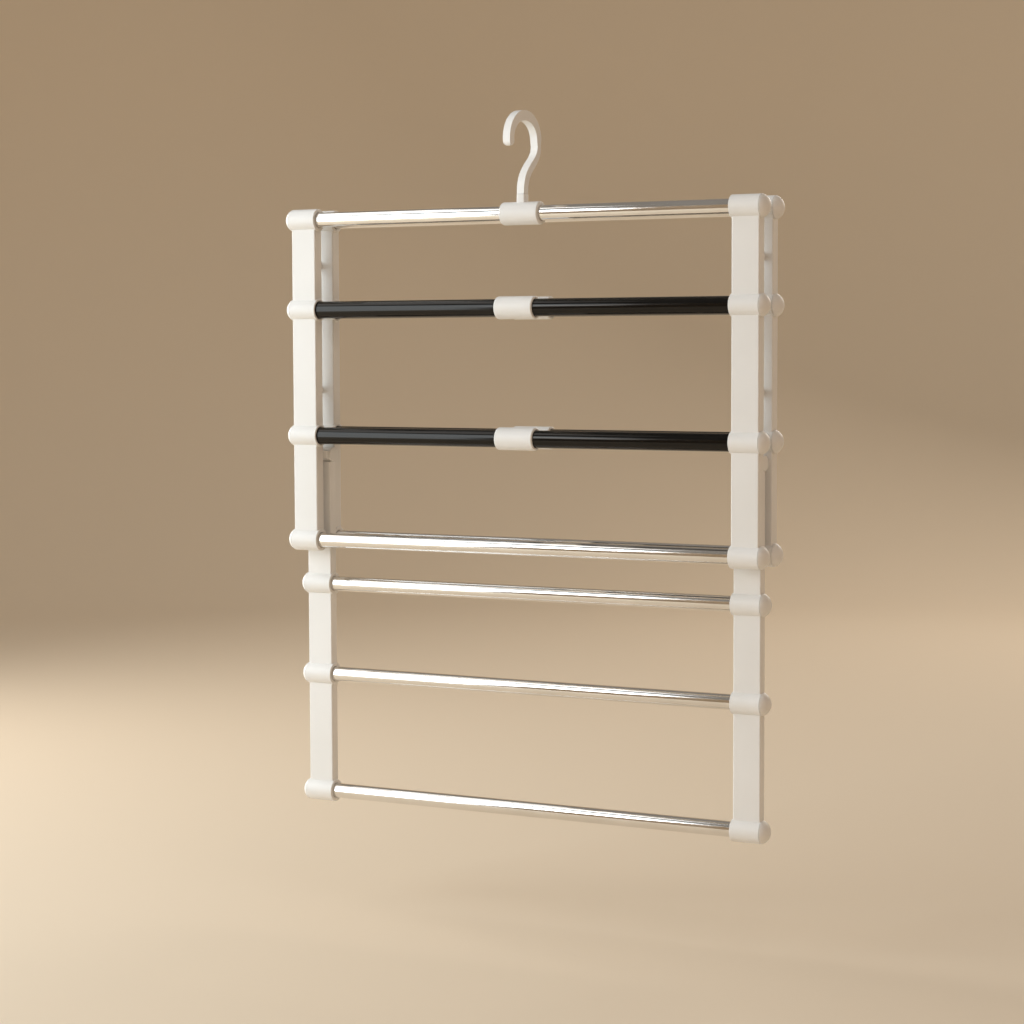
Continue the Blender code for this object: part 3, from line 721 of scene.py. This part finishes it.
def join_sockets(rail, inner, outer, depth, heights, gripped):
    """Joins a socket round each bar's end and bores it, wider where a black grip enters."""
    length = abs(outer - inner)
    centre = (inner + outer) / 2
    for height in heights:
        socket = add_rod("socket", SOCKET_RADIUS, length, (centre, depth, height))
        is_inner = lambda edge: circles(edge, X) and abs(middle(edge).x - inner) < FIT_GAP
        bevel_edges(socket, is_inner, SOCKET_EDGE, ROUND_STEPS)
        combine(rail, socket, "UNION")
    for height in heights:
        bore_out(rail, TUBE_RADIUS + FIT_GAP, length * BORE_REACH, (centre, depth, height))
        if height in gripped:
            bore_out(rail, GRIP_RADIUS + FIT_GAP, 2 * GRIP_SEAT, (inner, depth, height))
    bevel_edges(rail, lambda edge: at_mouth(edge, inner, depth, heights), MOUTH_EDGE, CORNER_STEPS)


def at_mouth(edge, inner, depth, heights):
    """Whether an edge is the rim of a bore where a bar enters its socket."""
    spot = middle(edge)
    off = min(math.hypot(spot.y - depth, spot.z - height) for height in heights)
    return circles(edge, X) and abs(spot.x - inner) < TOUCH and off < GRIP_RADIUS + 2 * FIT_GAP


# %% [markdown]
# ### Upper rails
# The rails of the front and rear frames are the same moulding but for the bosses on the ribs. Behind the
# front rail a boss takes the thread of a long screw, and in the rear rail it is bored through and holds the
# head. The right rail is a mirrored copy of the left one, with its normals turned outwards again.

# %% Upper rails
UPPER_CELLS = (2, 3, 1)


def upper_cells():
    """The cells of an upper rail, from the top bay down."""
    cells = []
    for number, count in enumerate(UPPER_CELLS):
        cells += cells_between(upper_heights[number] - BAY_END, upper_heights[number + 1] + BAY_END, count)
    return cells


SPACER_LABELS = ("upper", "lower")
SPACER_RADIUS = 0.004
SCREW_RADIUS = 0.0015
SCREW_HEAD_RADIUS = 0.003
SCREW_HEAD_HEIGHT = 0.002
BOSS_PROUD = 0.0005


def add_boss(rail, label, depth, through):
    """A boss on a rib, bored for a screw. In the rear rail the bore is wider where the screw's head sits."""
    low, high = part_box(f"left_{label}_spacer")
    across, height = (low.x + high.x) / 2, (low.z + high.z) / 2
    floor = depth - RAIL_DEPTH / 2 + RAIL_WALL / 2
    face = depth + RAIL_DEPTH / 2 + (-SCREW_HEAD_HEIGHT if through else BOSS_PROUD)
    centre = (across, (floor + face) / 2, height)
    boss = add_rod("boss", SPACER_RADIUS, face - floor, centre, Y, SMALL_SIDES)
    is_face = lambda edge: abs(middle(edge).y - face) < FIT_GAP and circles(edge, Y)
    bevel_edges(boss, is_face, RIM_ROUND, BREAK_STEPS)
    combine(rail, boss, "UNION")
    deep = RAIL_DEPTH * 2 if through else RAIL_DEPTH
    bore_out(rail, SCREW_RADIUS + FIT_GAP, deep, (across, face, height), Y, HOLE_SIDES)
    if through:
        deep = 2 * (SCREW_HEAD_HEIGHT + FIT_GAP)
        place = (across, depth + RAIL_DEPTH / 2, height)
        bore_out(rail, SCREW_HEAD_RADIUS + FIT_GAP, deep, place, Y, SMALL_SIDES)


def make_upper_rail(prefix, depth, through):
    """The left rail of the front or the rear frame, with its sockets and bosses."""
    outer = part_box(f"{prefix}_left_rail")[0].x + SOCKET_PROUD
    inner = outer + RAIL_WIDTH
    low = (outer, depth - RAIL_DEPTH / 2, upper_heights[-1])
    high = (inner, depth + RAIL_DEPTH / 2, upper_heights[0])
    rail = rail_block(f"{prefix}_left_stile", low, high)
    cut_channel(rail, low, high, upper_cells())
    for label in SPACER_LABELS:
        add_boss(rail, label, depth, through)
    gripped = upper_heights[GRIPPED]
    join_sockets(rail, inner + SOCKET_LIP, outer - SOCKET_PROUD, depth, upper_heights, gripped)
    return rail


def dress_pair(left, right_name, body, solid):
    """Mirrors a left piece over the middle of the bars, and dresses both."""
    low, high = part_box("lower_top_bar")
    flip = Matrix.Translation((low.x + high.x, 0, 0)) @ Matrix.Scale(-1, 4, (1, 0, 0))
    right = copy_of(left, right_name, flip)
    dress(left, white, body, solid)
    dress(right, white, body, solid.replace("left", "right"))


for prefix, depth, through in (("front", front_y, False), ("rear", rear_y, True)):
    left = make_upper_rail(prefix, depth, through)
    dress_pair(left, f"{prefix}_right_stile", "frame", f"{prefix}_left_rail")
    print(prefix, "rail faces", len(left.data.polygons))

# %% [markdown]
# ### Lower rails
# The sliding frame's rails are thinner, because they run in the gap between the other two. At the head a flat
# tongue stands up for the shoe to sit on, cut from the same block and helpers as the upper rails.

# %% Lower rails
LOWER_CELLS = (3, 2, 3)
TONGUE_WIDTH = 0.020
TONGUE_DEPTH = 0.005


def make_lower_rail():
    """A rail of the sliding frame, open to the rear, with the tongue that its shoe sits on."""
    box_low, box_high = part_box("lower_left_rail")
    shoe_low, shoe_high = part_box("left_slide_shoe")
    outer = box_low.x + SOCKET_PROUD
    inner = outer + RAIL_WIDTH
    shoulder = shoe_low.z - FIT_GAP
    low = (outer, lower_y - LOWER_RAIL_DEPTH / 2, lower_heights[-1])
    high = (inner, lower_y + LOWER_RAIL_DEPTH / 2, shoulder)
    rail = rail_block("lower_left_stile", low, high)
    tops = [shoulder - RAIL_WALL] + [height - BAY_END for height in lower_heights[:-1]]
    cells = []
    for top, height, count in zip(tops, lower_heights, LOWER_CELLS):
        cells += cells_between(top, height + BAY_END, count)
    cut_channel(rail, low, high, cells)
    centre_x = (outer + inner) / 2
    tongue_low = (centre_x - TONGUE_WIDTH / 2, lower_y - TONGUE_DEPTH / 2, shoulder - RAIL_WALL)
    tongue_high = (centre_x + TONGUE_WIDTH / 2, lower_y + TONGUE_DEPTH / 2, box_high.z)
    combine(rail, add_box("tongue", tongue_low, tongue_high), "UNION")
    join_sockets(rail, inner + SOCKET_LIP, outer - SOCKET_PROUD, lower_y, lower_heights, ())
    return rail


left = make_lower_rail()
dress_pair(left, "lower_right_stile", "lower_frame", "lower_left_rail")
print("lower rail faces", len(left.data.polygons))

# %% [markdown]
# ## Slide shoes
# A shoe is the guide at the head of each lower rail. Its barrel shows beside the rails, a flat pad runs between
# them, and a key reaches into the front rail's channel, so that the lower frame slides without falling out.

# %% Slide shoes
SHOE_RADIUS = 0.008
SHOE_EDGE = 0.001
PAD_HEIGHT = 0.008
PAD_INSET = 0.0015
RUNNING_GAP = 0.0004


def make_shoe():
    """The left shoe: a barrel, its pad and key, and the pocket for the rail's tongue."""
    low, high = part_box("left_slide_shoe")
    height = (low.z + high.z) / 2
    shoe = add_rod("left_shoe", SHOE_RADIUS, high.x - low.x, ((low.x + high.x) / 2, lower_y, height))
    bevel_edges(shoe, lambda edge: circles(edge, X), SHOE_EDGE, ROUND_STEPS)
    half = PAD_HEIGHT / 2
    front = front_y + RAIL_DEPTH / 2 + RUNNING_GAP
    back = rear_y - RAIL_DEPTH / 2 - RUNNING_GAP
    pad_low = (low.x + PAD_INSET, front, height - half)
    pad_high = (high.x - PAD_INSET, back, height + half)
    combine(shoe, add_soft_box("pad", pad_low, pad_high, Y, RIM_ROUND), "UNION")
    rail_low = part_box("front_left_rail")[0].x + SOCKET_PROUD + RAIL_WALL + RUNNING_GAP
    rail_high = rail_low + RAIL_WIDTH - 2 * RAIL_WALL - 2 * RUNNING_GAP
    key_low = (rail_low, low.y, height - half)
    key_high = (rail_high, lower_y, height + half)
    combine(shoe, add_soft_box("key", key_low, key_high, Y, RIM_ROUND), "UNION")
    lower_low, lower_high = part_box("lower_left_rail")
    centre = lower_low.x + SOCKET_PROUD + RAIL_WIDTH / 2
    wide = TONGUE_WIDTH / 2 + FIT_GAP
    thick = TONGUE_DEPTH / 2 + FIT_GAP
    pocket_low = (centre - wide, lower_y - thick, low.z - SHOE_EDGE)
    pocket = add_box("pocket", pocket_low, (centre + wide, lower_y + thick, lower_high.z + FIT_GAP))
    combine(shoe, pocket, "DIFFERENCE")
    return shoe


left = make_shoe()
dress_pair(left, "right_shoe", "lower_frame", "left_slide_shoe")
print("shoe faces", len(left.data.polygons))

# %% [markdown]
# ## Spacers and their screws
# Four short tubes keep the rear frame off the front one, and a long screw runs through each from behind.

# %% Spacers
SPACER_RIM = 0.0003
SPACERS = [f"{hand}_{label}_spacer" for hand, side in SIDES for label in SPACER_LABELS]


def make_spacer(solid):
    """A short tube between the two frames."""
    low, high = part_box(solid)
    wall = SPACER_RADIUS - SCREW_RADIUS - FIT_GAP
    form = (SPACER_RADIUS, wall, high.y - low.y, (low + high) / 2, SPACER_RIM)
    return dress(add_tube(f"{solid}_tube", *form, Y, SMALL_SIDES), white, "frame", solid)


for solid in SPACERS:
    make_spacer(solid)
print("spacers", len(SPACERS))

# %% [markdown]
# ### Spacer screws
# A spacer screw is a stepped rod: a long shank and a wider flat head, made by extruding and widening one end.
# The cross for the driver is two thin boxes cut out of the head. Its thread is inside the spacer and the boss,
# and isn't modelled.

# %% Spacer screws
CROSS_LENGTH = 0.0036
CROSS_WIDTH = 0.0007
CROSS_DEPTH = 0.0011
HEAD_ROUND = 0.0007


def make_spacer_screw(spacer):
    """A long screw along Y. Its head is flush with the rear rail's rim."""
    solid = f"{spacer}_screw"
    low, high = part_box(solid)
    centre = (low + high) / 2
    steps = ((SCREW_RADIUS, high.y - low.y - SCREW_HEAD_HEIGHT), (SCREW_HEAD_RADIUS, SCREW_HEAD_HEIGHT))
    screw = add_stepped_rod(spacer.replace("spacer", "long_screw"), steps, SCREW_SIDES)
    place = Matrix.Translation((centre.x, low.y, centre.z))
    screw.data.transform(place @ Matrix.Rotation(-math.pi / 2, 4, "X"))
    bevel_edges(screw, lambda edge: middle(edge).y > high.y - FIT_GAP, HEAD_ROUND, ROUND_STEPS)
    is_point = lambda edge: middle(edge).y < low.y + FIT_GAP and circles(edge, Y)
    bevel_edges(screw, is_point, HEAD_ROUND, BREAK_STEPS)
    for long, tall in ((CROSS_LENGTH, CROSS_WIDTH), (CROSS_WIDTH, CROSS_LENGTH)):
        half = Vector((long / 2, CROSS_DEPTH, tall / 2))
        top = Vector((centre.x, high.y, centre.z))
        combine(screw, add_box("cross", top - half, top + half), "DIFFERENCE")
    return dress(screw, zinc, "frame", solid)


for spacer in SPACERS:
    screw = make_spacer_screw(spacer)
print("screw faces", len(screw.data.polygons))

# %% [markdown]
# ## Sleeves and twin clips
# The hook stands on a sleeve over the top bar. Two twin clips hold the black bars of both frames together at
# the middle. All are barrels with softly rounded ends, joined to a boss or a web and then bored.

# %% Hook sleeve
SLEEVE_EDGE = 0.0014
BOSS_HEIGHT = 0.0198
BOSS_WIDTH = 0.0098
BOSS_EDGE = 0.0016
SHANK_RADIUS = 0.0025
POCKET_RADIUS = 0.0043
POCKET_HEIGHT = 0.003


def add_barrel(name, low_x, high_x, depth, height):
    """A barrel along X with rounded rims."""
    barrel = add_rod(name, SOCKET_RADIUS, high_x - low_x, ((low_x + high_x) / 2, depth, height))
    bevel_edges(barrel, lambda edge: circles(edge, X), SLEEVE_EDGE, SOFT_STEPS)
    return barrel


def make_hook_sleeve():
    """The sleeve with the upright boss that the hook turns in."""
    low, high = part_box("hook_sleeve")
    height = upper_heights[0]
    sleeve = add_barrel("hook_collar", low.x, high.x, front_y, height)
    half = BOSS_WIDTH / 2
    boss_low = (-half, front_y - half, height + TUBE_RADIUS)
    boss = add_soft_box("boss", boss_low, (half, front_y + half, high.z), Z, BOSS_EDGE, SOFT_STEPS)
    bevel_edges(boss, lambda edge: middle(edge).z > high.z - FIT_GAP, RIM_ROUND, BREAK_STEPS)
    combine(sleeve, boss, "UNION")
    bore_out(sleeve, TUBE_RADIUS + FIT_GAP, 2 * (high.x - low.x), (0, front_y, height))
    above = height + BOSS_HEIGHT + TUBE_RADIUS
    bore_out(sleeve, SHANK_RADIUS + FIT_GAP, 2 * BOSS_HEIGHT, (0, front_y, above), Z)
    floor = height + TUBE_RADIUS + FIT_GAP
    bore_out(sleeve, POCKET_RADIUS, 2 * POCKET_HEIGHT, (0, front_y, floor), Z)
    return dress(sleeve, white, "frame", "hook_sleeve")


print("hook sleeve faces", len(make_hook_sleeve().data.polygons))

# %% [markdown]
# ### Twin clips
# A twin clip is two barrels with a flat web between them. They snap over the black bars and keep the long
# tubes of both frames in step. The barrels are joined before the bores are cut, so that no web is left inside.

# %% Twin clips
WEB_WIDTH = 0.030
WEB_THICKNESS = 0.005


def make_twin_clip(label):
    """Two barrels on the black coats, joined by a flat web."""
    low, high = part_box(f"{label}_twin_clip")
    height = (low.z + high.z) / 2
    clip = add_barrel(f"{label}_clip", low.x, high.x, front_y, height)
    centre_x = (low.x + high.x) / 2
    half = Vector((WEB_WIDTH / 2, 0, WEB_THICKNESS / 2))
    near = Vector((centre_x, front_y + GRIP_RADIUS + GRIP_WALL, height))
    far = Vector((centre_x, rear_y - GRIP_RADIUS - GRIP_WALL, height))
    combine(clip, add_soft_box("web", near - half, far + half, Y, RAIL_EDGE, CORNER_STEPS), "UNION")
    combine(clip, add_barrel("rear_barrel", low.x, high.x, rear_y, height), "UNION")
    for depth in (front_y, rear_y):
        bore_out(clip, GRIP_RADIUS + FIT_GAP, 2 * (high.x - low.x), (centre_x, depth, height))
    return dress(clip, white, "frame", f"{label}_twin_clip")


for label in UPPER_LABELS[GRIPPED]:
    clip = make_twin_clip(label)
print("clip faces", len(clip.data.polygons))

# %% [markdown]
# ## Hook
# The hook is a flat bar of plastic bent into a crook, thickest at the top where the load is, with a stem that
# swivels in the sleeve. One edge is extruded along the hook's middle line and turned and scaled at every step.
# The ribbon that it leaves behind gets its width from Solidify and its soft edges from Bevel.

# %% Hook line
HOOK_TURN = math.radians(-7.0)
HOOK_WIDTH = 0.009
HOOK_EDGE = 0.0018
INSIDE_RADIUS = 0.0195
TOP_THICKNESS = 0.0139
SIDE_THICKNESS = 0.0102
STEM_THICKNESS = 0.0078
TIP_DROP = 0.0205
LIMB_END = -0.024
STEM_BEND = -0.072
LIMB_PULL = 0.0191
STEM_PULL = 0.0276
ARCH_STEPS = 44
BEND_STEPS = 22
NOSE_STEPS = 8
NOSE_POINT = 0.01


def arch_stations():
    """Across, height and half thickness along the arch, from the rear limb over the top to the tip."""
    radius = INSIDE_RADIUS + SIDE_THICKNESS / 2
    centre = TOP_THICKNESS / 2 - radius
    reach = math.pi + math.asin((TIP_DROP + centre) / radius)
    stations = []
    for number in range(ARCH_STEPS + 1):
        angle = reach * number / ARCH_STEPS
        half = (SIDE_THICKNESS + (TOP_THICKNESS - SIDE_THICKNESS) * max(math.sin(angle), 0) ** 2) / 2
        stations.append((Vector((0, radius * math.cos(angle), centre + radius * math.sin(angle))), half))
    return stations


def bend_stations():
    """The same along the bend, from the stem up to the rear limb."""
    start = Vector((0, 0, STEM_BEND))
    end = Vector((0, INSIDE_RADIUS + SIDE_THICKNESS / 2, LIMB_END))
    pulls = (start, start + Vector((0, 0, STEM_PULL)), end - Vector((0, 0, LIMB_PULL)), end)
    stations = []
    for number in range(BEND_STEPS + 1):
        t = number / BEND_STEPS
        weights = ((1 - t) ** 3, 3 * t * (1 - t) ** 2, 3 * t ** 2 * (1 - t), t ** 3)
        spot = sum((weight * pull for weight, pull in zip(weights, pulls)), Vector((0, 0, 0)))
        half = (STEM_THICKNESS + (SIDE_THICKNESS - STEM_THICKNESS) * min(2 * (1 - t), 1)) / 2
        stations.append((spot, half))
    return stations


# %% [markdown]
# ### Sweeping the hook
# A curve with a bevel object could follow the same line, but its section would keep one size. Here one edge
# walks from station to station: extrude, turn, scale. The nose is a quarter circle of short steps.

# %% Sweep the hook
def nose_stations(tip, before):
    """The round nose beyond the arch's last station."""
    spot, half = tip
    ahead = (spot - before[0]).normalized()
    stations = []
    for number in range(1, NOSE_STEPS + 1):
        angle = math.pi / 2 * number / NOSE_STEPS
        stations.append((spot + ahead * half * math.sin(angle), half * max(math.cos(angle), NOSE_POINT)))
    return stations


def heading(stations, number):
    """The angle in the hook's plane from straight up to the line's direction at a station."""
    before = stations[max(number - 1, 0)][0]
    after = stations[min(number + 1, len(stations) - 1)][0]
    return math.atan2(after.y - before.y, after.z - before.z)


def sweep_ribbon(foot):
    """The hook's outline as a flat ribbon in the plane X = 0, swept from the stem's foot to the nose."""
    arch = arch_stations()
    stations = bend_stations() + arch[1:] + nose_stations(arch[-1], arch[-2])
    start_clean()
    centre = (0, 0, (foot + STEM_BEND) / 2)
    bpy.ops.mesh.primitive_plane_add(size=1, location=centre, rotation=(0, math.pi / 2, 0))
    ribbon = settle("hook_crook")
    bpy.ops.object.mode_set(mode="EDIT")
    bpy.ops.transform.resize(value=(1, STEM_THICKNESS, STEM_BEND - foot), center_override=centre)
    pick(ribbon, "EDGE", lambda edge: middle(edge).z > STEM_BEND - FIT_GAP)
    turned = 0
    for number in range(1, len(stations)):
        spot, half = stations[number]
        last_spot, last_half = stations[number - 1]
        turn = heading(stations, number) - turned
        turn -= math.tau * round(turn / math.tau)
        bpy.ops.mesh.extrude_region_move(TRANSFORM_OT_translate={"value": spot - last_spot})
        bpy.ops.transform.rotate(value=turn, orient_axis="X", center_override=spot)
        bpy.ops.transform.resize(value=(1, half / last_half, half / last_half), center_override=spot)
        turned += turn
    bpy.ops.mesh.merge(type="COLLAPSE")
    bpy.ops.object.mode_set(mode="OBJECT")
    return ribbon


# %% [markdown]
# ### Hook and shank
# Solidify gives the ribbon its width of 9 mm and Bevel rounds its edges. The nose is then narrowed, as it is
# on the real hook, so that it is round from the front too. The round shank below swivels in the sleeve's boss.

# %% Hook with its shank
NECK_RADIUS = 0.002
SHANK_FOOT = 0.001
NOSE_TAPER = 0.45
HOOK_EDGE_STEPS = 6


def narrow_nose(hook):
    """Narrows the hook's width towards its tip, so that the nose is round from the front too."""
    arch = arch_stations()
    spot, half = arch[-1]
    ahead = (spot - arch[-2][0]).normalized()
    for corner in hook.data.vertices:
        away = corner.co - spot
        reach = away.dot(ahead) / half
        if reach > 0 and away.yz.length < 2 * half:
            corner.co.x *= 1 - NOSE_TAPER * min(reach, 1) ** 3


def make_hook():
    """The swept ribbon made thick and soft-edged, joined to the round shank it swivels on."""
    foot = upper_heights[0] + BOSS_HEIGHT + FIT_GAP
    hook = sweep_ribbon(foot)
    apply_modifier(hook, "SOLIDIFY", thickness=HOOK_WIDTH, offset=0)
    corners = {"limit_method": "ANGLE", "angle_limit": SHARP_ANGLE}
    apply_modifier(hook, "BEVEL", width=HOOK_EDGE, segments=HOOK_EDGE_STEPS, **corners)
    narrow_nose(hook)
    base = upper_heights[0] + TUBE_RADIUS + FIT_GAP
    neck = POCKET_HEIGHT - SHANK_FOOT
    rest = foot - base - POCKET_HEIGHT + HOOK_EDGE
    steps = ((SHANK_RADIUS, SHANK_FOOT), (NECK_RADIUS, neck), (SHANK_RADIUS, rest))
    shank = add_stepped_rod("shank", steps, SMALL_SIDES)
    shank.data.transform(Matrix.Translation((0, 0, base)))
    combine(hook, shank, "UNION")
    hook.data.transform(Matrix.Rotation(HOOK_TURN, 4, "Z"))
    return dress(hook, white, "hook", "hook")


hook = make_hook()
print("hook faces", len(hook.data.polygons))

# %% [markdown]
# ### Hook ring
# A flat ring sits on the shank's neck, in the pocket of the boss, and carries the whole rack. It is a short
# tube with a thick wall, so that it keeps its round hole.

# %% Hook ring
RING_RIM = 0.0002


def make_hook_ring():
    """The flat ring pushed on the shank's neck, which carries the rack from inside the boss."""
    low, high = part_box("hook_ring")
    radius = (high.x - low.x) / 2
    form = (radius, radius - NECK_RADIUS - FIT_GAP, high.z - low.z, (low + high) / 2, RING_RIM)
    return dress(add_tube("hook_washer", *form, Z, SMALL_SIDES), zinc, "hook", "hook_ring")


print("ring faces", len(make_hook_ring().data.polygons))

# %% [markdown]
# ## Camera, floor and light
# The camera stands to the right of the rack and a little above its middle, as in the photograph.

# %% Camera
IMAGE_SIZE = 1024
CAMERA_AZIMUTH = math.radians(28.243)
CAMERA_PITCH = math.radians(3.97)
CAMERA_ROLL = math.radians(-0.218)
CAMERA_FOCUS_PIXELS = 2408.2
CAMERA_DISTANCE = 2.5234
CAMERA_TARGET = Vector((-0.01031, -0.0065, -0.40491))
SENSOR_WIDTH = 36.0
NEAREST = 0.1
FARTHEST = 60.0

camera_data = bpy.data.cameras.new("camera")
camera = bpy.data.objects.new("camera", camera_data)
bpy.context.scene.collection.objects.link(camera)
camera_data.sensor_width = SENSOR_WIDTH
camera_data.lens = CAMERA_FOCUS_PIXELS / IMAGE_SIZE * SENSOR_WIDTH
camera_data.clip_start = NEAREST
camera_data.clip_end = FARTHEST
back = Vector((
    math.sin(CAMERA_AZIMUTH) * math.cos(CAMERA_PITCH),
    -math.cos(CAMERA_AZIMUTH) * math.cos(CAMERA_PITCH),
    math.sin(CAMERA_PITCH),
))
camera.location = CAMERA_TARGET + back * CAMERA_DISTANCE
look = (-back).to_track_quat("-Z", "Y").to_matrix().to_4x4()
camera.matrix_world = Matrix.Translation(camera.location) @ look @ Matrix.Rotation(CAMERA_ROLL, 4, "Z")
bpy.context.scene.camera = camera
print("lens in mm:", round(camera_data.lens, 1))

# %% [markdown]
# ### Floor and backdrop
# A flat floor would end in a hard line behind the rack. A disc whose rim is pulled up and bevelled in one
# wide bend has no such line, and it looks the same from every side.

# %% Floor
FLOOR_DROP = 0.11
FLOOR_RADIUS = 4.5
FLOOR_SIDES = 96
WALL_HEIGHT = 3.2
BEND_RADIUS = 1.4
FLOOR_BEND_STEPS = 24
FLOOR_COLOUR = (0.77, 0.65, 0.50, 1.0)


def pale_floor():
    """A round pale floor whose rim rises in one soft bend, so that every view has a plain backdrop."""
    start_clean()
    level = cad_low.z - FLOOR_DROP
    bpy.ops.mesh.primitive_circle_add(
        vertices=FLOOR_SIDES, radius=FLOOR_RADIUS, fill_type="NGON", location=(0, 0, level)
    )
    floor = settle("floor")
    bpy.ops.object.mode_set(mode="EDIT")
    pick(floor, "EDGE", lambda edge: edge.is_boundary)
    bpy.ops.mesh.extrude_edges_move(TRANSFORM_OT_translate={"value": (0, 0, WALL_HEIGHT)})
    pick(floor, "EDGE", lambda edge: abs(middle(edge).z - level) < FIT_GAP and not edge.is_boundary)
    bpy.ops.mesh.bevel(offset=BEND_RADIUS, segments=FLOOR_BEND_STEPS, profile=0.5, affect="EDGES")
    bpy.ops.mesh.select_all(action="SELECT")
    bpy.ops.mesh.normals_make_consistent(inside=True)
    bpy.ops.object.mode_set(mode="OBJECT")
    bpy.ops.object.shade_smooth()
    floor.data.materials.append(new_material("pale_floor", Base_Color=FLOOR_COLOUR, Roughness=0.85)[0])
    return floor


print("floor faces", len(pale_floor().data.polygons))

# %% [markdown]
# ### Light
# Two kinds of surface pull in different ways. White plastic wants broad light that shapes its round sockets,
# and chrome shows each lamp as a stripe. So the lamps are rectangles of different sizes: a large one from the
# left, a narrow one that draws the thin line on the black bars, and weaker ones above and to the right. One
# behind lights the backdrop, and one far to the left touches only the edges that are rounded towards it.

# %% Light
LAMPS = (
    ("left_light", (-1.556, -1.356, 0.05), (1.45, 2.2), 41, (0.82, 0.93, 1.0)),
    ("left_strip", (-1.026, -2.023, 0.5), (0.24, 0.6), 2.4, (0.965, 0.985, 1.0)),
    ("high_light", (-1.7, -0.3, 1.75), (2.0, 1.2), 11, (1.0, 0.99, 0.97)),
    ("top_light", (0.9, -0.7, 2.6), (1.4, 1.4), 5, (1.0, 0.97, 0.93)),
    ("fill_light", (2.5, -1.7, 0.55), (1.8, 1.8), 9.2, (1.0, 0.76, 0.65)),
    ("back_light", (0.3, 3.4, 0.9), (2.0, 1.2), 30, (1.0, 0.93, 0.85)),
    ("edge_light", (-2.1, 0.35, 0.15), (0.6, 1.2), 16, (1.0, 0.96, 0.90)),
)
WORLD_COLOUR = (0.84, 0.76, 0.66, 1.0)
WORLD_STRENGTH = 0.3


def soft_light(name, place, size, power, colour, aim):
    """A rectangular area light that looks at a point and doesn't show itself."""
    light = bpy.data.lights.new(name, "AREA")
    light.shape = "RECTANGLE"
    light.size, light.size_y = size
    light.energy = power
    light.color = colour
    lamp = bpy.data.objects.new(name, light)
    bpy.context.scene.collection.objects.link(lamp)
    lamp.visible_camera = False
    direction = Vector(aim) - Vector(place)
    lamp.matrix_world = Matrix.Translation(place) @ direction.to_track_quat("-Z", "Y").to_matrix().to_4x4()
    return lamp


for lamp_values in LAMPS:
    soft_light(*lamp_values, (cad_low + cad_high) / 2)
world = bpy.data.worlds.new("soft_room")
world.use_nodes = True
world.node_tree.nodes["Background"].inputs["Color"].default_value = WORLD_COLOUR
world.node_tree.nodes["Background"].inputs["Strength"].default_value = WORLD_STRENGTH
bpy.context.scene.world = world
bpy.context.scene.view_settings.view_transform = "Standard"
print("lamps", len(LAMPS))
